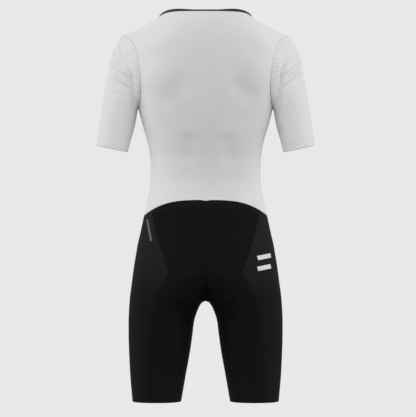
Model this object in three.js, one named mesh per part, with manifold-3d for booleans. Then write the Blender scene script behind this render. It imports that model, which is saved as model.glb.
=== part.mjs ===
// A short-sleeved triathlon suit, worn and hollow: white top and black shorts in one piece.
// Millimetres, +Z up. The front faces -Y and the wearer's left side is +X.
// The origin is the middle of the neck opening, level with the sides of the neck.
import * as THREE from "three";
import { mergeVertices } from "three/addons/utils/BufferGeometryUtils.js";
import Module from "manifold-3d";

// Cloth and seams
const WALL = 1.5;
const SEAM_GAP = 0.3;
const SHARPEST_FOLD = 0.35;
const LEAST_MITRE = 0.5;
const TINY = 1e-6;
const TRIM_WALL = 0.9;

// Main heights
const NECK_BACK_Z = 7;
const NECK_FRONT_Z = -56;
const SHOULDER_TIP = { x: 189, y: -2, z: -46 };
const ARMPIT = { x: 152.5, y: -2, z: -209 };
const WAIST_BACK_Z = -418.5;
const WAIST_SIDE_DROP = 36;
const WAIST_HALF = 139.56;
const WAIST_DIP = 1.8;
const WAIST_DIP_WIDE = 7;
const WAIST_BACK_POWER = 3.3;
const WAIST_FRONT_Z = -447;
const WAIST_FRONT_POWER = 2.5;
const CROTCH_Z = -646;
const LEG_HEM_Z = -873;

// How many steps each stretch of a seam takes
const SHOULDER_STEPS = 4;
const ARMHOLE_STEPS = 12;
const SIDE_STEPS = 11;
const BACK_STEPS = 8;
const FLANK_STEPS = 3;
const FRONT_STEPS = 6;
const FRONT_FLANK_STEPS = 4;
const YOKE_STEPS = 7;
const SEAT_CENTRE_STEPS = 6;
const GUSSET_STEPS = 5;
const INSEAM_STEPS = 3;
const LEG_STEPS = 9;
const SLEEVE_STEPS = 16;
const GUSSET_ACROSS = 3;
const FINE_STEPS = 80;
const ROW_FINE_STEPS = 200;

// Roundness of the body's level sections: 2 is an ellipse, more is squarer
const BODY_ROUND = 2.3;
const TIP_ROUND = 1.2;
const ARMHOLE_ROUND = 1.4;
const ARMPIT_EASE = 1.6;
const PROBE = 0.4;

// Heights of the top's middle line at the neck, the shoulder tips, the armpits and the waist,
// and how late each row drops towards its edge there
const TOP_MIDDLE = {
  back: { neck: NECK_BACK_Z, tip: -40, armpit: -212, waist: WAIST_BACK_Z - WAIST_DIP },
  front: { neck: NECK_FRONT_Z, tip: -74, armpit: -214, waist: WAIST_FRONT_Z },
};
const TOP_DROP = {
  back: { neck: 7, tip: 2, armpit: 2, waist: 3.3 },
  front: { neck: 2.5, tip: 1.6, armpit: 2, waist: 3.3 },
};

// Half widths and depths of the top, section by section
const TOP_SECTIONS = [
  { z: 7, half: 106, back: 58, front: 50 },
  { z: -20, half: 130, back: 77, front: 58 },
  { z: -56, half: 150, back: 93, front: 69 },
  { z: -100, half: 154, back: 103, front: 82 },
  { z: -160, half: 154, back: 107, front: 96 },
  { z: -209, half: 152.5, back: 103, front: 101 },
  { z: -228, half: 148, back: 100, front: 100 },
  { z: -255, half: 141, back: 94, front: 97 },
  { z: -296, half: 128.6, back: 83, front: 91 },
  { z: -340, half: 124.3, back: 74, front: 87 },
  { z: -377, half: 124.3, back: 72, front: 86 },
  { z: -405, half: 128.8, back: 75, front: 88 },
  { z: -432, half: 134.7, back: 81, front: 90 },
  { z: -458, half: 140.5, back: 88, front: 91 },
];

// The shorts: outer half width, half gap between the legs (below zero above the crotch), depths
const SHORTS_SECTIONS = [
  { z: -400, side: 127.8, gap: -127.8, back: 74, front: 88 },
  { z: -432, side: 134.7, gap: -134.7, back: 81, front: 90 },
  { z: -454, side: 139.5, gap: -139.5, back: 87, front: 91 },
  { z: -491, side: 147.3, gap: -147.3, back: 98, front: 92 },
  { z: -518, side: 153.7, gap: -153.7, back: 106, front: 92 },
  { z: -545, side: 158.3, gap: -152, back: 113, front: 91 },
  { z: -572, side: 162.7, gap: -112, back: 118, front: 90 },
  { z: -599, side: 166.3, gap: -64, back: 120, front: 88 },
  { z: -615, side: 168.4, gap: -38, back: 119, front: 87 },
  { z: -630, side: 170.4, gap: -20, back: 115, front: 85 },
  { z: -640, side: 171.5, gap: -10, back: 112, front: 84 },
  { z: -646, side: 172, gap: 0, back: 110, front: 83 },
  { z: -654, side: 172.6, gap: 11.2, back: 107, front: 82 },
  { z: -667, side: 173.4, gap: 17.8, back: 102, front: 81 },
  { z: -694, side: 174.4, gap: 26.1, back: 94, front: 79 },
  { z: -722, side: 174.4, gap: 29.6, back: 88, front: 77 },
  { z: -762, side: 173.2, gap: 35.3, back: 81, front: 73 },
  { z: -817, side: 170.4, gap: 45.3, back: 75, front: 68 },
  { z: -873, side: 165.5, gap: 55, back: 71, front: 64 },
  { z: -890, side: 164, gap: 58, back: 70, front: 63 },
];

// The shoulder seam and the armhole seams, from the neck and from the shoulder tip down
const SHOULDER_LINE = [
  { at: 0, x: 106, z: -6 },
  { at: 0.12, x: 112, z: -12 },
  { at: 0.4, x: 137.6, z: -24 },
  { at: 0.72, x: 166, z: -38 },
  { at: 1, x: 189, z: -46 },
];
const ARMHOLE_LINE = [
  { z: -46, back: 189, front: 189 },
  { z: -51, back: 177, front: 177 },
  { z: -57, back: 167, front: 167 },
  { z: -72, back: 159, front: 155 },
  { z: -90, back: 154, front: 147 },
  { z: -125, back: 148, front: 140 },
  { z: -150, back: 145.5, front: 138 },
  { z: -170, back: 145, front: 139.5 },
  { z: -190, back: 147, front: 142 },
  { z: -204, back: 150, front: 148 },
  { z: -209, back: 152.5, front: 152.5 },
];
const ARMHOLE_BACK_DEPTH = 64;
const ARMHOLE_FRONT_DEPTH = 56;
const SLEEVE_HOLD = 0.3;

// The sleeve's rings, from the shoulder to the cuff: outer and inner point, half depth, bow to the body
const SLEEVE_RINGS = [
  { at: 0, outX: 189, outZ: -46, inX: 152.5, inZ: -209, depth: 60, bow: 22 },
  { at: 0.08, outX: 202, outZ: -65, inX: 153.6, inZ: -213, depth: 62, bow: 18 },
  { at: 0.18, outX: 211.5, outZ: -87, inX: 154.6, inZ: -217.5, depth: 62.5, bow: 13 },
  { at: 0.28, outX: 217.5, outZ: -109, inX: 155.4, inZ: -223, depth: 61, bow: 9 },
  { at: 0.38, outX: 221.3, outZ: -134, inX: 156.4, inZ: -230, depth: 58.5, bow: 6 },
  { at: 0.5, outX: 226.5, outZ: -160, inX: 158, inZ: -239, depth: 55.5, bow: 3 },
  { at: 0.62, outX: 231, outZ: -190, inX: 160.4, inZ: -251, depth: 52.5, bow: 1 },
  { at: 0.75, outX: 237, outZ: -226, inX: 164.3, inZ: -266, depth: 50, bow: 0 },
  { at: 0.88, outX: 242.7, outZ: -262, inX: 170, inZ: -286, depth: 48, bow: 0 },
  { at: 1, outX: 248, outZ: -294, inX: 176.5, inZ: -310, depth: 46.5, bow: 0 },
];

// Creases pressed into the back of each sleeve, in the photo's plane
const SLEEVE_CREASES = {
  left: [
    { fromX: 209, fromZ: -124, toX: 172, toZ: -153, depth: 2.2, spread: 7 },
    { fromX: 213, fromZ: -93, toX: 184, toZ: -118, depth: 1.8, spread: 7 },
    { fromX: 199, fromZ: -66, toX: 165, toZ: -114, depth: 2.4, spread: 8 },
  ],
  right: [
    { fromX: 217, fromZ: -108, toX: 178, toZ: -145, depth: 2.4, spread: 8 },
    { fromX: 200, fromZ: -91, toX: 178, toZ: -136, depth: 1.8, spread: 7 },
    { fromX: 194, fromZ: -70, toX: 184, toZ: -116, depth: 1.6, spread: 7 },
  ],
};
const CREASE_FADE_AT = 0.12;
const CREASE_START = 0.12;
const CREASE_END = 0.94;
const CREASE_BEYOND = 0.2;

// Seams of the shorts, in the photo's plane
const STRIP_HALF = 120;
const YOKE_SIDE_SEAM = [
  { z: -450, x: 120 },
  { z: -490, x: 111 },
  { z: -535, x: 97 },
  { z: -578, x: 81 },
];
const SEAT_SIDE_SEAM = [
  { z: -578, x: 81 },
  { z: -615, x: 100 },
  { z: -653, x: 116 },
  { z: -700, x: 124 },
  { z: -770, x: 130 },
  { z: -873, x: 131 },
];
const LOWER_SEAM = [
  { x: 32.5, z: -734 },
  { x: 78, z: -725 },
  { x: 124, z: -700 },
];
const FRONT_SIDE_SEAM = [
  { z: -452, x: 108 },
  { z: -560, x: 118 },
  { z: -650, x: 132 },
  { z: -700, x: 136 },
  { z: -780, x: 134 },
  { z: -873, x: 128 },
];
const STRIP_LOW_Z = -434;
const STRIP_LOW_DROP = 16;
const STRIP_LOW_POWER = 2.6;
const ARC_Z = -562.5;
const ARC_DROP = 15.5;
const ARC_HALF = 81;
const INSEAM_SEAM_Z = -736;
const INSEAM_TURN = 20;

// Gusset and seat pad
const GUSSET_TOP_Z = -630;
const GUSSET_TOP_HALF = 3;
const GUSSET_SHOULDER = { x: 21, z: -650 };
const GUSSET_LOW_Z = -688;
const PAD_BACK_Z = -574;
const PAD_FRONT_Z = -592;
const PAD_THICK = 6;
const PAD_EDGE_THICK = 2;
const PAD_CLEAR = 3.2;
const PAD_STEPS = 14;
const PAD_ACROSS = 4;
const PAD_RISE_ACROSS = 2.5;
const PAD_RISE_ALONG = 4;
const PAD_CLEAR_FROM = 0.08;
const PAD_OUTLINE = [
  { at: 0, x: 20, z: -575, face: "back" },
  { at: 0.1, x: 58, z: -590, face: "back" },
  { at: 0.24, x: 79, z: -622, face: "back" },
  { at: 0.36, x: 66, z: -655, face: "back" },
  { at: 0.46, x: 44, z: -673, face: "back" },
  { at: 0.56, x: 0, z: -680, face: "inseam" },
  { at: 0.68, x: 40, z: -664, face: "front" },
  { at: 0.82, x: 46, z: -634, face: "front" },
  { at: 1, x: 22, z: -593, face: "front" },
];

// Neck binding and waist hem
const BINDING_HIGH = 7;
const BINDING_WALL = 2.4;
const BINDING_PROUD = 0.5;
const BINDING_ROWS = 3;
const BINDING_FOLLOW = 0.5;
const BINDING_UPRIGHT = 0.8;
const HEM_HIGH = 4.5;

// Front zip: chain, tape, slider and pull
const ZIP_OPEN_HALF = 3.2;
const CHAIN_HALF = 2.6;
const CHAIN_RISE = 0.5;
const TAPE_HALF = 11;
const TAPE_WALL = 0.8;
const TAPE_GAP = 0.4;
const STOP_CLEAR = 2;
const SLIDER_AT = 7.5;
const CHAIN_FROM = 11.8;
const SLIDER = { half: 3.8, high: 4.6, low: 3.8, keelHalf: 2.3, plate: 1.5 };
const CROWN = { half: 0.9, high: 2.6, leg: 0.9, rise: 3.1, top: 0.9 };
const PULL = { bar: 0.6, inner: 1.3, outer: 2.9, wall: 1.1, arm: 4.6, long: 20, axisLow: 0.8, axisOut: 1.1 };
const PULL_LEAN = 4;
const JOIN = 0.1;

// Side tab on the left hip, on the side panel
const TAB_FROM = { x: 131, z: -462 };
const TAB_TO = { x: 121, z: -511 };
const TAB_WALL = 0.8;
const TAB_OUTLINE = [
  { at: 0, half: 1.1 },
  { at: 0.03, half: 2.4 },
  { at: 0.08, half: 3.25 },
  { at: 0.3, half: 3.25 },
  { at: 0.5, half: 3.25 },
  { at: 0.7, half: 3.25 },
  { at: 0.92, half: 3.25 },
  { at: 0.97, half: 2.4 },
  { at: 1, half: 1.1 },
];

const COLOURS = {
  white: 0xe4e4e2,
  sleeve: 0xe9e9e7,
  black: 0x101012,
  gloss: 0x1c1c1f,
  grey: 0x5a5c60,
  metal: 0x2a2a2c,
  pad: 0x3a3a3e,
};

const RAD = Math.PI / 180;
const signedPower = (value, power) => Math.sign(value) * Math.abs(value) ** power;
const mix = (a, b, t) => a + (b - a) * t;
const ease = (t) => t * t * (3 - 2 * t);
const clamp = (t) => Math.min(1, Math.max(0, t));

// A smooth curve through one column of a table, with no overshoot between its rows.
function columnCurve(table, at, column, pick = (row) => row[column]) {
  const rows = [...table].sort((a, b) => a[at] - b[at]);
  const xs = rows.map((row) => row[at]);
  const ys = rows.map(pick);
  const steps = xs.slice(1).map((x, i) => (ys[i + 1] - ys[i]) / (x - xs[i]));
  const slopes = xs.map((_, i) => {
    if (i === 0) return steps[0];
    if (i === xs.length - 1) return steps[i - 1];
    const before = steps[i - 1];
    const after = steps[i];
    return before * after <= 0 ? 0 : (2 * before * after) / (before + after);
  });
  return (x) => {
    let i = 0;
    while (i < xs.length - 2 && x > xs[i + 1]) i += 1;
    const span = xs[i + 1] - xs[i];
    const t = clamp((x - xs[i]) / span);
    const rise = t * t * (3 - 2 * t);
    const lead = t * (1 - t) * (1 - t) * span * slopes[i];
    const tail = t * t * (1 - t) * span * slopes[i + 1];
    return mix(ys[i], ys[i + 1], rise) + lead - tail;
  };
}

// Points at equal steps along a curve, between two of its parameters.
function evenSteps(curve, count, from = 0, to = 1, fine = FINE_STEPS) {
  const params = Array.from({ length: fine + 1 }, (_, i) => mix(from, to, i / fine));
  const points = params.map((t) => curve(t));
  const lengths = [0];
  for (let i = 1; i <= fine; i += 1) {
    lengths.push(lengths[i - 1] + points[i].distanceTo(points[i - 1]));
  }
  return Array.from({ length: count + 1 }, (_, k) => {
    const wanted = (lengths[fine] * k) / count;
    let i = 0;
    while (i < fine - 1 && lengths[i + 1] < wanted) i += 1;
    const t = (wanted - lengths[i]) / (lengths[i + 1] - lengths[i] || 1);
    return mix(params[i], params[i + 1], clamp(t));
  });
}

// The shorts' surface: a leg's ring, whose part beyond the middle plane is left away above the crotch.
const shortsSide = columnCurve(SHORTS_SECTIONS, "z", "side");
const shortsBack = columnCurve(SHORTS_SECTIONS, "z", "back");
const shortsFront = columnCurve(SHORTS_SECTIONS, "z", "front");
const gapSquare = columnCurve(SHORTS_SECTIONS, "z", "gap", (row) => signedPower(row.gap, 2));

function legRing(z) {
  const side = shortsSide(z);
  const gap = signedPower(gapSquare(z), 0.5);
  return { centre: (side + gap) / 2, half: (side - gap) / 2 };
}

function shortsPoint(phi, z) {
  const ring = legRing(z);
  const depth = Math.sin(phi * RAD) >= 0 ? shortsBack(z) : shortsFront(z);
  const x = ring.centre + ring.half * signedPower(Math.cos(phi * RAD), 2 / BODY_ROUND);
  const y = depth * signedPower(Math.sin(phi * RAD), 2 / BODY_ROUND);
  return new THREE.Vector3(x, y, z);
}

// The ring angle at a distance x from the middle plane, on the back (1) or the front (-1).
function shortsAngle(x, z, side = 1) {
  const ring = legRing(z);
  const share = Math.max(-1, Math.min(1, (x - ring.centre) / ring.half));
  return (side * Math.acos(signedPower(share, BODY_ROUND / 2))) / RAD;
}

function shortsNormal(phi, z) {
  const around = shortsPoint(phi + PROBE, z).sub(shortsPoint(phi - PROBE, z));
  const up = shortsPoint(phi, z + PROBE).sub(shortsPoint(phi, z - PROBE));
  return around.cross(up).normalize();
}

// The waist seam, as heights over the distance from the middle
function waistBackZ(x) {
  const dip = WAIST_DIP * Math.exp(-((x / WAIST_DIP_WIDE) ** 2));
  return WAIST_BACK_Z - WAIST_SIDE_DROP * (Math.abs(x) / WAIST_HALF) ** WAIST_BACK_POWER - dip;
}
const WAIST_SIDE_Z = WAIST_BACK_Z - WAIST_SIDE_DROP;
function waistFrontZ(x) {
  return mix(WAIST_FRONT_Z, WAIST_SIDE_Z, (Math.abs(x) / WAIST_HALF) ** WAIST_FRONT_POWER);
}

// Angle and height on the waist seam for a ring angle, on the back or the front
function waistSpot(phi, height) {
  let z = WAIST_SIDE_Z;
  for (let i = 0; i < 6; i += 1) z = height(shortsPoint(phi, z).x);
  return [phi, z];
}

// Seam lines on the shorts, each a list of [angle, height] spots
function spotsAlong(spotAt, count, from = 0, to = 1) {
  const curve = (t) => shortsPoint(...spotAt(t));
  return evenSteps(curve, count, from, to).map((t) => spotAt(t));
}

// The ring angle at which the waist seam is a distance x from the middle plane
function waistAngle(x, height, side) {
  return shortsAngle(x, height(x), side);
}
const backEdgeAngle = waistAngle(STRIP_HALF, waistBackZ, 1);
const frontEdgeAngle = waistAngle(FRONT_SIDE_SEAM[0].x, waistFrontZ, -1);
const waistRun = (from, to, height, count) =>
  spotsAlong((t) => waistSpot(mix(from, to, t), height), count);
const waistStrip = waistRun(90, backEdgeAngle, waistBackZ, BACK_STEPS);
const waistFlankBack = waistRun(backEdgeAngle, 0, waistBackZ, FLANK_STEPS);
const waistFlankFront = waistRun(0, frontEdgeAngle, waistFrontZ, FRONT_FLANK_STEPS);
const waistFront = waistRun(frontEdgeAngle, -90, waistFrontZ, FRONT_STEPS);

const atX = (x, z, side) => [shortsAngle(x, z, side), z];
const stripLow = spotsAlong((t) => {
  const x = STRIP_HALF * t;
  return atX(x, STRIP_LOW_Z - STRIP_LOW_DROP * t ** STRIP_LOW_POWER);
}, BACK_STEPS);
const arcSeam = spotsAlong((t) => atX(ARC_HALF * t, ARC_Z - ARC_DROP * t * t), BACK_STEPS);
const yokeSideX = columnCurve(YOKE_SIDE_SEAM, "z", "x");
const seatSideX = columnCurve(SEAT_SIDE_SEAM, "z", "x");
const frontSideX = columnCurve(FRONT_SIDE_SEAM, "z", "x");
const lowerSeamZ = columnCurve(LOWER_SEAM, "x", "z");
const centreBack = (z) => atX(0, z);
const sideSpots = (seamX, from, to, count, side = 1) =>
  spotsAlong((t) => atX(seamX(mix(from, to, t)), mix(from, to, t), side), count);

// The lower seam runs from the side seam to the inseam, round the inside of the thigh.
const [lowerInner, , lowerOuter] = LOWER_SEAM;
const lowerSeam = spotsAlong((t) => {
  const phi = mix(180, shortsAngle(lowerOuter.x, lowerOuter.z), t);
  const inner = mix(INSEAM_SEAM_Z, lowerInner.z, clamp((180 - phi) / INSEAM_TURN));
  let z = inner;
  for (let i = 0; i < 8; i += 1) {
    const x = shortsPoint(phi, z).x;
    z = x < lowerInner.x ? inner : lowerSeamZ(x);
  }
  return [phi, z];
}, BACK_STEPS);
const legHem = (from, to, count) => spotsAlong((t) => [mix(from, to, t), LEG_HEM_Z], count);

// The gusset's edge, from its top on the middle line to its lowest point on the inseam
function gussetEdge(side) {
  const topZ = GUSSET_TOP_Z - 1;
  const top = shortsAngle(GUSSET_TOP_HALF, topZ);
  const corner = shortsAngle(GUSSET_SHOULDER.x, GUSSET_SHOULDER.z);
  const spot = (t) => {
    if (t < 0.5) {
      const down = t / 0.5;
      return [side * mix(top, corner, down), mix(topZ, GUSSET_SHOULDER.z, down)];
    }
    const round = (t - 0.5) / 0.5;
    const fall = Math.sin((round * Math.PI) / 2);
    return [side * mix(corner, 180, round), mix(GUSSET_SHOULDER.z, GUSSET_LOW_Z, fall)];
  };
  return spotsAlong(spot, GUSSET_STEPS);
}

// A patch of spots between four seam lines
function patchSpots(top, bottom, left, right) {
  const across = top.length - 1;
  const down = left.length - 1;
  return left.map((_, i) => top.map((__, j) => {
    const u = j / across;
    const v = i / down;
    return [0, 1].map((axis) => {
      const sides = mix(left[i][axis], right[i][axis], u);
      const ends = mix(top[j][axis], bottom[j][axis], v);
      const corners = mix(
        mix(top[0][axis], top[across][axis], u),
        mix(bottom[0][axis], bottom[across][axis], u), v);
      return sides + ends - corners;
    });
  }));
}

// Every cloth panel as a grid of outer points with outward directions; seams share their directions.
const panels = [];
const mirrored = (v) => new THREE.Vector3(-v.x, v.y, v.z);

function addPanel(name, points, normals, options = {}) {
  panels.push({ name, points, normals, wall: WALL, lift: 0, ring: false, ...options });
}

// A patch on the shorts, for the left leg or mirrored for the right
function shortsPatch(spots, rightSide = false) {
  const flip = rightSide ? mirrored : (v) => v;
  const order = (row) => (rightSide ? [...row].reverse() : row);
  return {
    points: spots.map((row) => order(row.map(([phi, z]) => flip(shortsPoint(phi, z))))),
    normals: spots.map((row) => order(row.map(([phi, z]) => flip(shortsNormal(phi, z))))),
  };
}

function addShortsPair(name, spots, options) {
  [["left", false], ["right", true]].forEach(([side, rightSide]) => {
    const patch = shortsPatch(spots, rightSide);
    addPanel(name + "_" + side, patch.points, patch.normals, options);
  });
}

// Both halves of a piece that crosses the middle plane. Their rows run from the rim to the middle.
function shortsAcross(spots) {
  const left = shortsPatch(spots);
  const right = shortsPatch(spots, true);
  const join = (l, r) => l.map((row, i) => [...row, ...r[i].slice(1)]);
  const joined = { points: join(left.points, right.points), normals: join(left.normals, right.normals) };
  joined.normals.forEach((row) => {
    const middle = row[(row.length - 1) / 2];
    middle.setX(0).normalize();
  });
  return joined;
}

// Shorts panels. Columns run from the middle line outwards, so they are turned to run the same way round.
const yokeCentre = spotsAlong((t) => centreBack(mix(STRIP_LOW_Z, ARC_Z, t)), YOKE_STEPS);
const yokeTopZ = STRIP_LOW_Z - STRIP_LOW_DROP;
const yokeLowZ = ARC_Z - ARC_DROP;
const yokeSide = sideSpots(yokeSideX, yokeTopZ, yokeLowZ, YOKE_STEPS);
const gussetBack = gussetEdge(1);
const gussetFront = gussetEdge(-1);
const seatCentre = [
  ...spotsAlong((t) => centreBack(mix(ARC_Z, GUSSET_TOP_Z, t)), SEAT_CENTRE_STEPS),
  ...gussetBack,
  ...spotsAlong((t) => [180, mix(GUSSET_LOW_Z, INSEAM_SEAM_Z, t)], INSEAM_STEPS).slice(1),
];
const seatRows = seatCentre.length - 1;
const seatSide = sideSpots(seatSideX, yokeLowZ, lowerOuter.z, seatRows);
const legInner = spotsAlong((t) => [180, mix(INSEAM_SEAM_Z, LEG_HEM_Z, t)], LEG_STEPS);
const legSide = sideSpots(seatSideX, lowerOuter.z, LEG_HEM_Z, LEG_STEPS);
const hemSideAngle = legSide[LEG_STEPS][0];
const frontRowsAbove = YOKE_STEPS + seatRows + 1 - GUSSET_STEPS - 1 - INSEAM_STEPS;
const frontCentre = [
  ...spotsAlong((t) => {
    const z = mix(WAIST_FRONT_Z, GUSSET_TOP_Z, t);
    return atX(0, z, -1);
  }, frontRowsAbove),
  ...gussetFront,
  ...spotsAlong((t) => [-180, mix(GUSSET_LOW_Z, INSEAM_SEAM_Z, t)], INSEAM_STEPS).slice(1),
  ...spotsAlong((t) => [-180, mix(INSEAM_SEAM_Z, LEG_HEM_Z, t)], LEG_STEPS).slice(1),
];
const flankRows = frontCentre.length - 1;
const flankBack = [
  waistStrip[BACK_STEPS],
  ...yokeSide,
  ...seatSide.slice(1),
  ...legSide.slice(1),
];
const frontTopZ = waistFlankFront[FRONT_FLANK_STEPS][1];
const flankFront = sideSpots(frontSideX, frontTopZ, LEG_HEM_Z, flankRows, -1);
flankFront[0] = waistFlankFront[FRONT_FLANK_STEPS];
const flankTop = [...waistFlankBack, ...waistFlankFront.slice(1)];
const hemFlank = legHem(hemSideAngle, flankFront[flankRows][0], FLANK_STEPS + FRONT_FLANK_STEPS);

const turned = (spots) => spots.map((row) => [...row].reverse());
addShortsPair("waist_strip", turned(patchSpots(waistStrip, stripLow,
  [waistStrip[0], stripLow[0]], [waistStrip[BACK_STEPS], stripLow[BACK_STEPS]])));
addShortsPair("yoke", turned(patchSpots(stripLow, arcSeam, yokeCentre, yokeSide)));
addShortsPair("seat", turned(patchSpots(arcSeam, lowerSeam, seatCentre, seatSide)));
addShortsPair("back_leg", turned(patchSpots(lowerSeam, legHem(180, hemSideAngle, BACK_STEPS),
  legInner, legSide)));
addShortsPair("side_panel", turned(patchSpots(flankTop, hemFlank, flankBack, flankFront)));
addShortsPair("front_leg", turned(patchSpots(waistFront,
  legHem(flankFront[flankRows][0], -180, FRONT_STEPS), flankFront, frontCentre)));

// The gusset's rows run from the back under the crotch to the front.
const crotchLine = (side, topZ, count) =>
  spotsAlong((t) => {
    const z = mix(topZ, CROTCH_Z, Math.sin((t * Math.PI) / 2));
    return atX(0, z, side);
  }, count);
const gussetMiddle = [
  ...crotchLine(1, GUSSET_TOP_Z, GUSSET_STEPS),
  ...crotchLine(-1, GUSSET_TOP_Z, GUSSET_STEPS).reverse().slice(1).map(([phi, z]) => [phi + 360, z]),
];
const gussetRim = [
  ...gussetBack,
  ...[...gussetFront].reverse().slice(1).map(([phi, z]) => [phi + 360, z]),
];
const gussetSpots = gussetMiddle.map((middle, i) =>
  Array.from({ length: GUSSET_ACROSS + 1 }, (_, j) =>
    [0, 1].map((axis) => mix(gussetRim[i][axis], middle[axis], j / GUSSET_ACROSS))));

// The top's rows, each from the middle line of the back or front to the edge of the panel
const topBack = columnCurve(TOP_SECTIONS, "z", "back");
const topFront = columnCurve(TOP_SECTIONS, "z", "front");
const topHalf = columnCurve(TOP_SECTIONS, "z", "half");
const shoulderX = columnCurve(SHOULDER_LINE, "at", "x");
const shoulderZ = columnCurve(SHOULDER_LINE, "at", "z");
const armholeX = {
  back: columnCurve(ARMHOLE_LINE, "z", "back"),
  front: columnCurve(ARMHOLE_LINE, "z", "front"),
};
const TOP_ROWS = SHOULDER_STEPS + ARMHOLE_STEPS + SIDE_STEPS;
const ARMPIT_ROW = SHOULDER_STEPS + ARMHOLE_STEPS;

function armholePoint(angle, face) {
  const middleZ = (SHOULDER_TIP.z + ARMPIT.z) / 2;
  const halfHigh = (SHOULDER_TIP.z - ARMPIT.z) / 2;
  const depth = face === "back" ? ARMHOLE_BACK_DEPTH : -ARMHOLE_FRONT_DEPTH;
  const z = middleZ + halfHigh * Math.sin(angle);
  return new THREE.Vector3(armholeX[face](z), SHOULDER_TIP.y + depth * Math.cos(angle), z);
}

// One row: its middle and edge points, and how the row turns and drops between them
function topRow(row, face) {
  const middle = TOP_MIDDLE[face];
  const drops = TOP_DROP[face];
  const depthAt = face === "back" ? topBack : (z) => -topFront(z);
  let z;
  let edge;
  let turn;
  let drop;
  if (row <= SHOULDER_STEPS) {
    const t = row / SHOULDER_STEPS;
    z = mix(middle.neck, middle.tip, t);
    edge = new THREE.Vector3(shoulderX(t), SHOULDER_TIP.y * t, shoulderZ(t));
    turn = mix(BODY_ROUND, TIP_ROUND, t);
    drop = mix(drops.neck, drops.tip, face === "back" ? Math.sqrt(t) : t);
  } else if (row <= ARMPIT_ROW) {
    const t = (row - SHOULDER_STEPS) / ARMHOLE_STEPS;
    z = mix(middle.tip, middle.armpit, t);
    edge = armholePoint(Math.PI * (0.5 - t), face);
    turn = t < 0.5
      ? mix(TIP_ROUND, ARMHOLE_ROUND, 2 * t)
      : mix(ARMHOLE_ROUND, BODY_ROUND, (2 * t - 1) ** ARMPIT_EASE);
    drop = mix(drops.tip, drops.armpit, t);
  } else {
    const t = (row - ARMPIT_ROW) / SIDE_STEPS;
    z = mix(middle.armpit, middle.waist, t);
    const edgeZ = mix(ARMPIT.z, WAIST_SIDE_Z, t);
    edge = new THREE.Vector3(topHalf(edgeZ), mix(ARMPIT.y, 0, clamp(3 * t)), edgeZ);
    turn = BODY_ROUND;
    drop = mix(drops.armpit, drops.waist, t);
  }
  return { middle: new THREE.Vector3(0, depthAt(z), z), edge, turn, drop };
}

// A point on a row, from t = 0 on the middle line to t = 1 at the edge, for the left half
function rowPoint(data, t) {
  const { middle, edge, turn, drop } = data;
  const share = Math.sin((t * Math.PI) / 2) ** (2 / BODY_ROUND);
  const bulge = Math.cos((t * Math.PI) / 2) ** (2 / turn);
  return new THREE.Vector3(
    edge.x * share,
    mix(edge.y, middle.y, t >= 1 ? 0 : bulge),
    mix(middle.z, edge.z, share ** drop));
}

// The waist row lies on the shorts' surface; the rows above it are drawn to it little by little.
const waistPoints = {
  back: [...waistStrip, ...waistFlankBack.slice(1)].map((spot) => shortsPoint(...spot)),
  front: [...waistFlankFront, ...waistFront.slice(1)].reverse().map((spot) => shortsPoint(...spot)),
};
const columnShares = (points) => {
  const lengths = [0];
  for (let i = 1; i < points.length; i += 1) {
    lengths.push(lengths[i - 1] + points[i].distanceTo(points[i - 1]));
  }
  return lengths.map((length) => length / lengths[lengths.length - 1]);
};

function topHalfGrid(face) {
  const shares = columnShares(waistPoints[face]);
  const rows = Array.from({ length: TOP_ROWS + 1 }, (_, row) => {
    const data = topRow(row, face);
    let start = 0;
    if (face === "front") {
      const share = (ZIP_OPEN_HALF / data.edge.x) ** (BODY_ROUND / 2);
      start = (Math.asin(share) * 2) / Math.PI;
    }
    const fine = evenSteps((t) => rowPoint(data, t), ROW_FINE_STEPS, start, 1, ROW_FINE_STEPS);
    return shares.map((share) => {
      const place = share * ROW_FINE_STEPS;
      const i = Math.min(ROW_FINE_STEPS - 1, Math.floor(place));
      return rowPoint(data, mix(fine[i], fine[i + 1], place - i));
    });
  });
  const waist = waistPoints[face].map((point) => point.clone());
  if (face === "front") waist[0].x = ZIP_OPEN_HALF;
  const shift = waist.map((point, j) => point.sub(rows[TOP_ROWS][j]));
  for (let i = ARMPIT_ROW; i <= TOP_ROWS; i += 1) {
    const weight = ease((i - ARMPIT_ROW) / SIDE_STEPS);
    rows[i].forEach((point, j) => point.addScaledVector(shift[j], weight));
  }
  return rows;
}

// Outward directions of a grid whose rows go down and whose columns go round, seen from above
function gridNormals(points, ring = false) {
  const rows = points.length;
  const columns = points[0].length;
  return points.map((row, i) => row.map((_, j) => {
    const before = ring ? (j + columns - 1) % columns : Math.max(0, j - 1);
    const after = ring ? (j + 1) % columns : Math.min(columns - 1, j + 1);
    const round = row[after].clone().sub(row[before]);
    const up = points[Math.max(0, i - 1)][j].clone().sub(points[Math.min(rows - 1, i + 1)][j]);
    return round.cross(up).normalize();
  }));
}

const backHalf = topHalfGrid("back");
const frontHalf = topHalfGrid("front");
const backGrid = backHalf.map((row) => [
  ...[...row].reverse(),
  ...row.slice(1).map(mirrored),
]);
const frontLeft = frontHalf.map((row) => row.map((point) => point.clone()));
const frontRight = frontHalf.map((row) => row.map(mirrored).reverse());
addPanel("back_body", backGrid, gridNormals(backGrid));
addPanel("front_left", frontLeft, gridNormals(frontLeft));
addPanel("front_right", frontRight, gridNormals(frontRight));

// Sleeves: rings from the armhole to the cuff, the back half first, from the shoulder down
const ringCurve = {};
["outX", "outZ", "inX", "inZ", "depth", "bow"].forEach((column) => {
  ringCurve[column] = columnCurve(SLEEVE_RINGS, "at", column);
});

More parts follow.
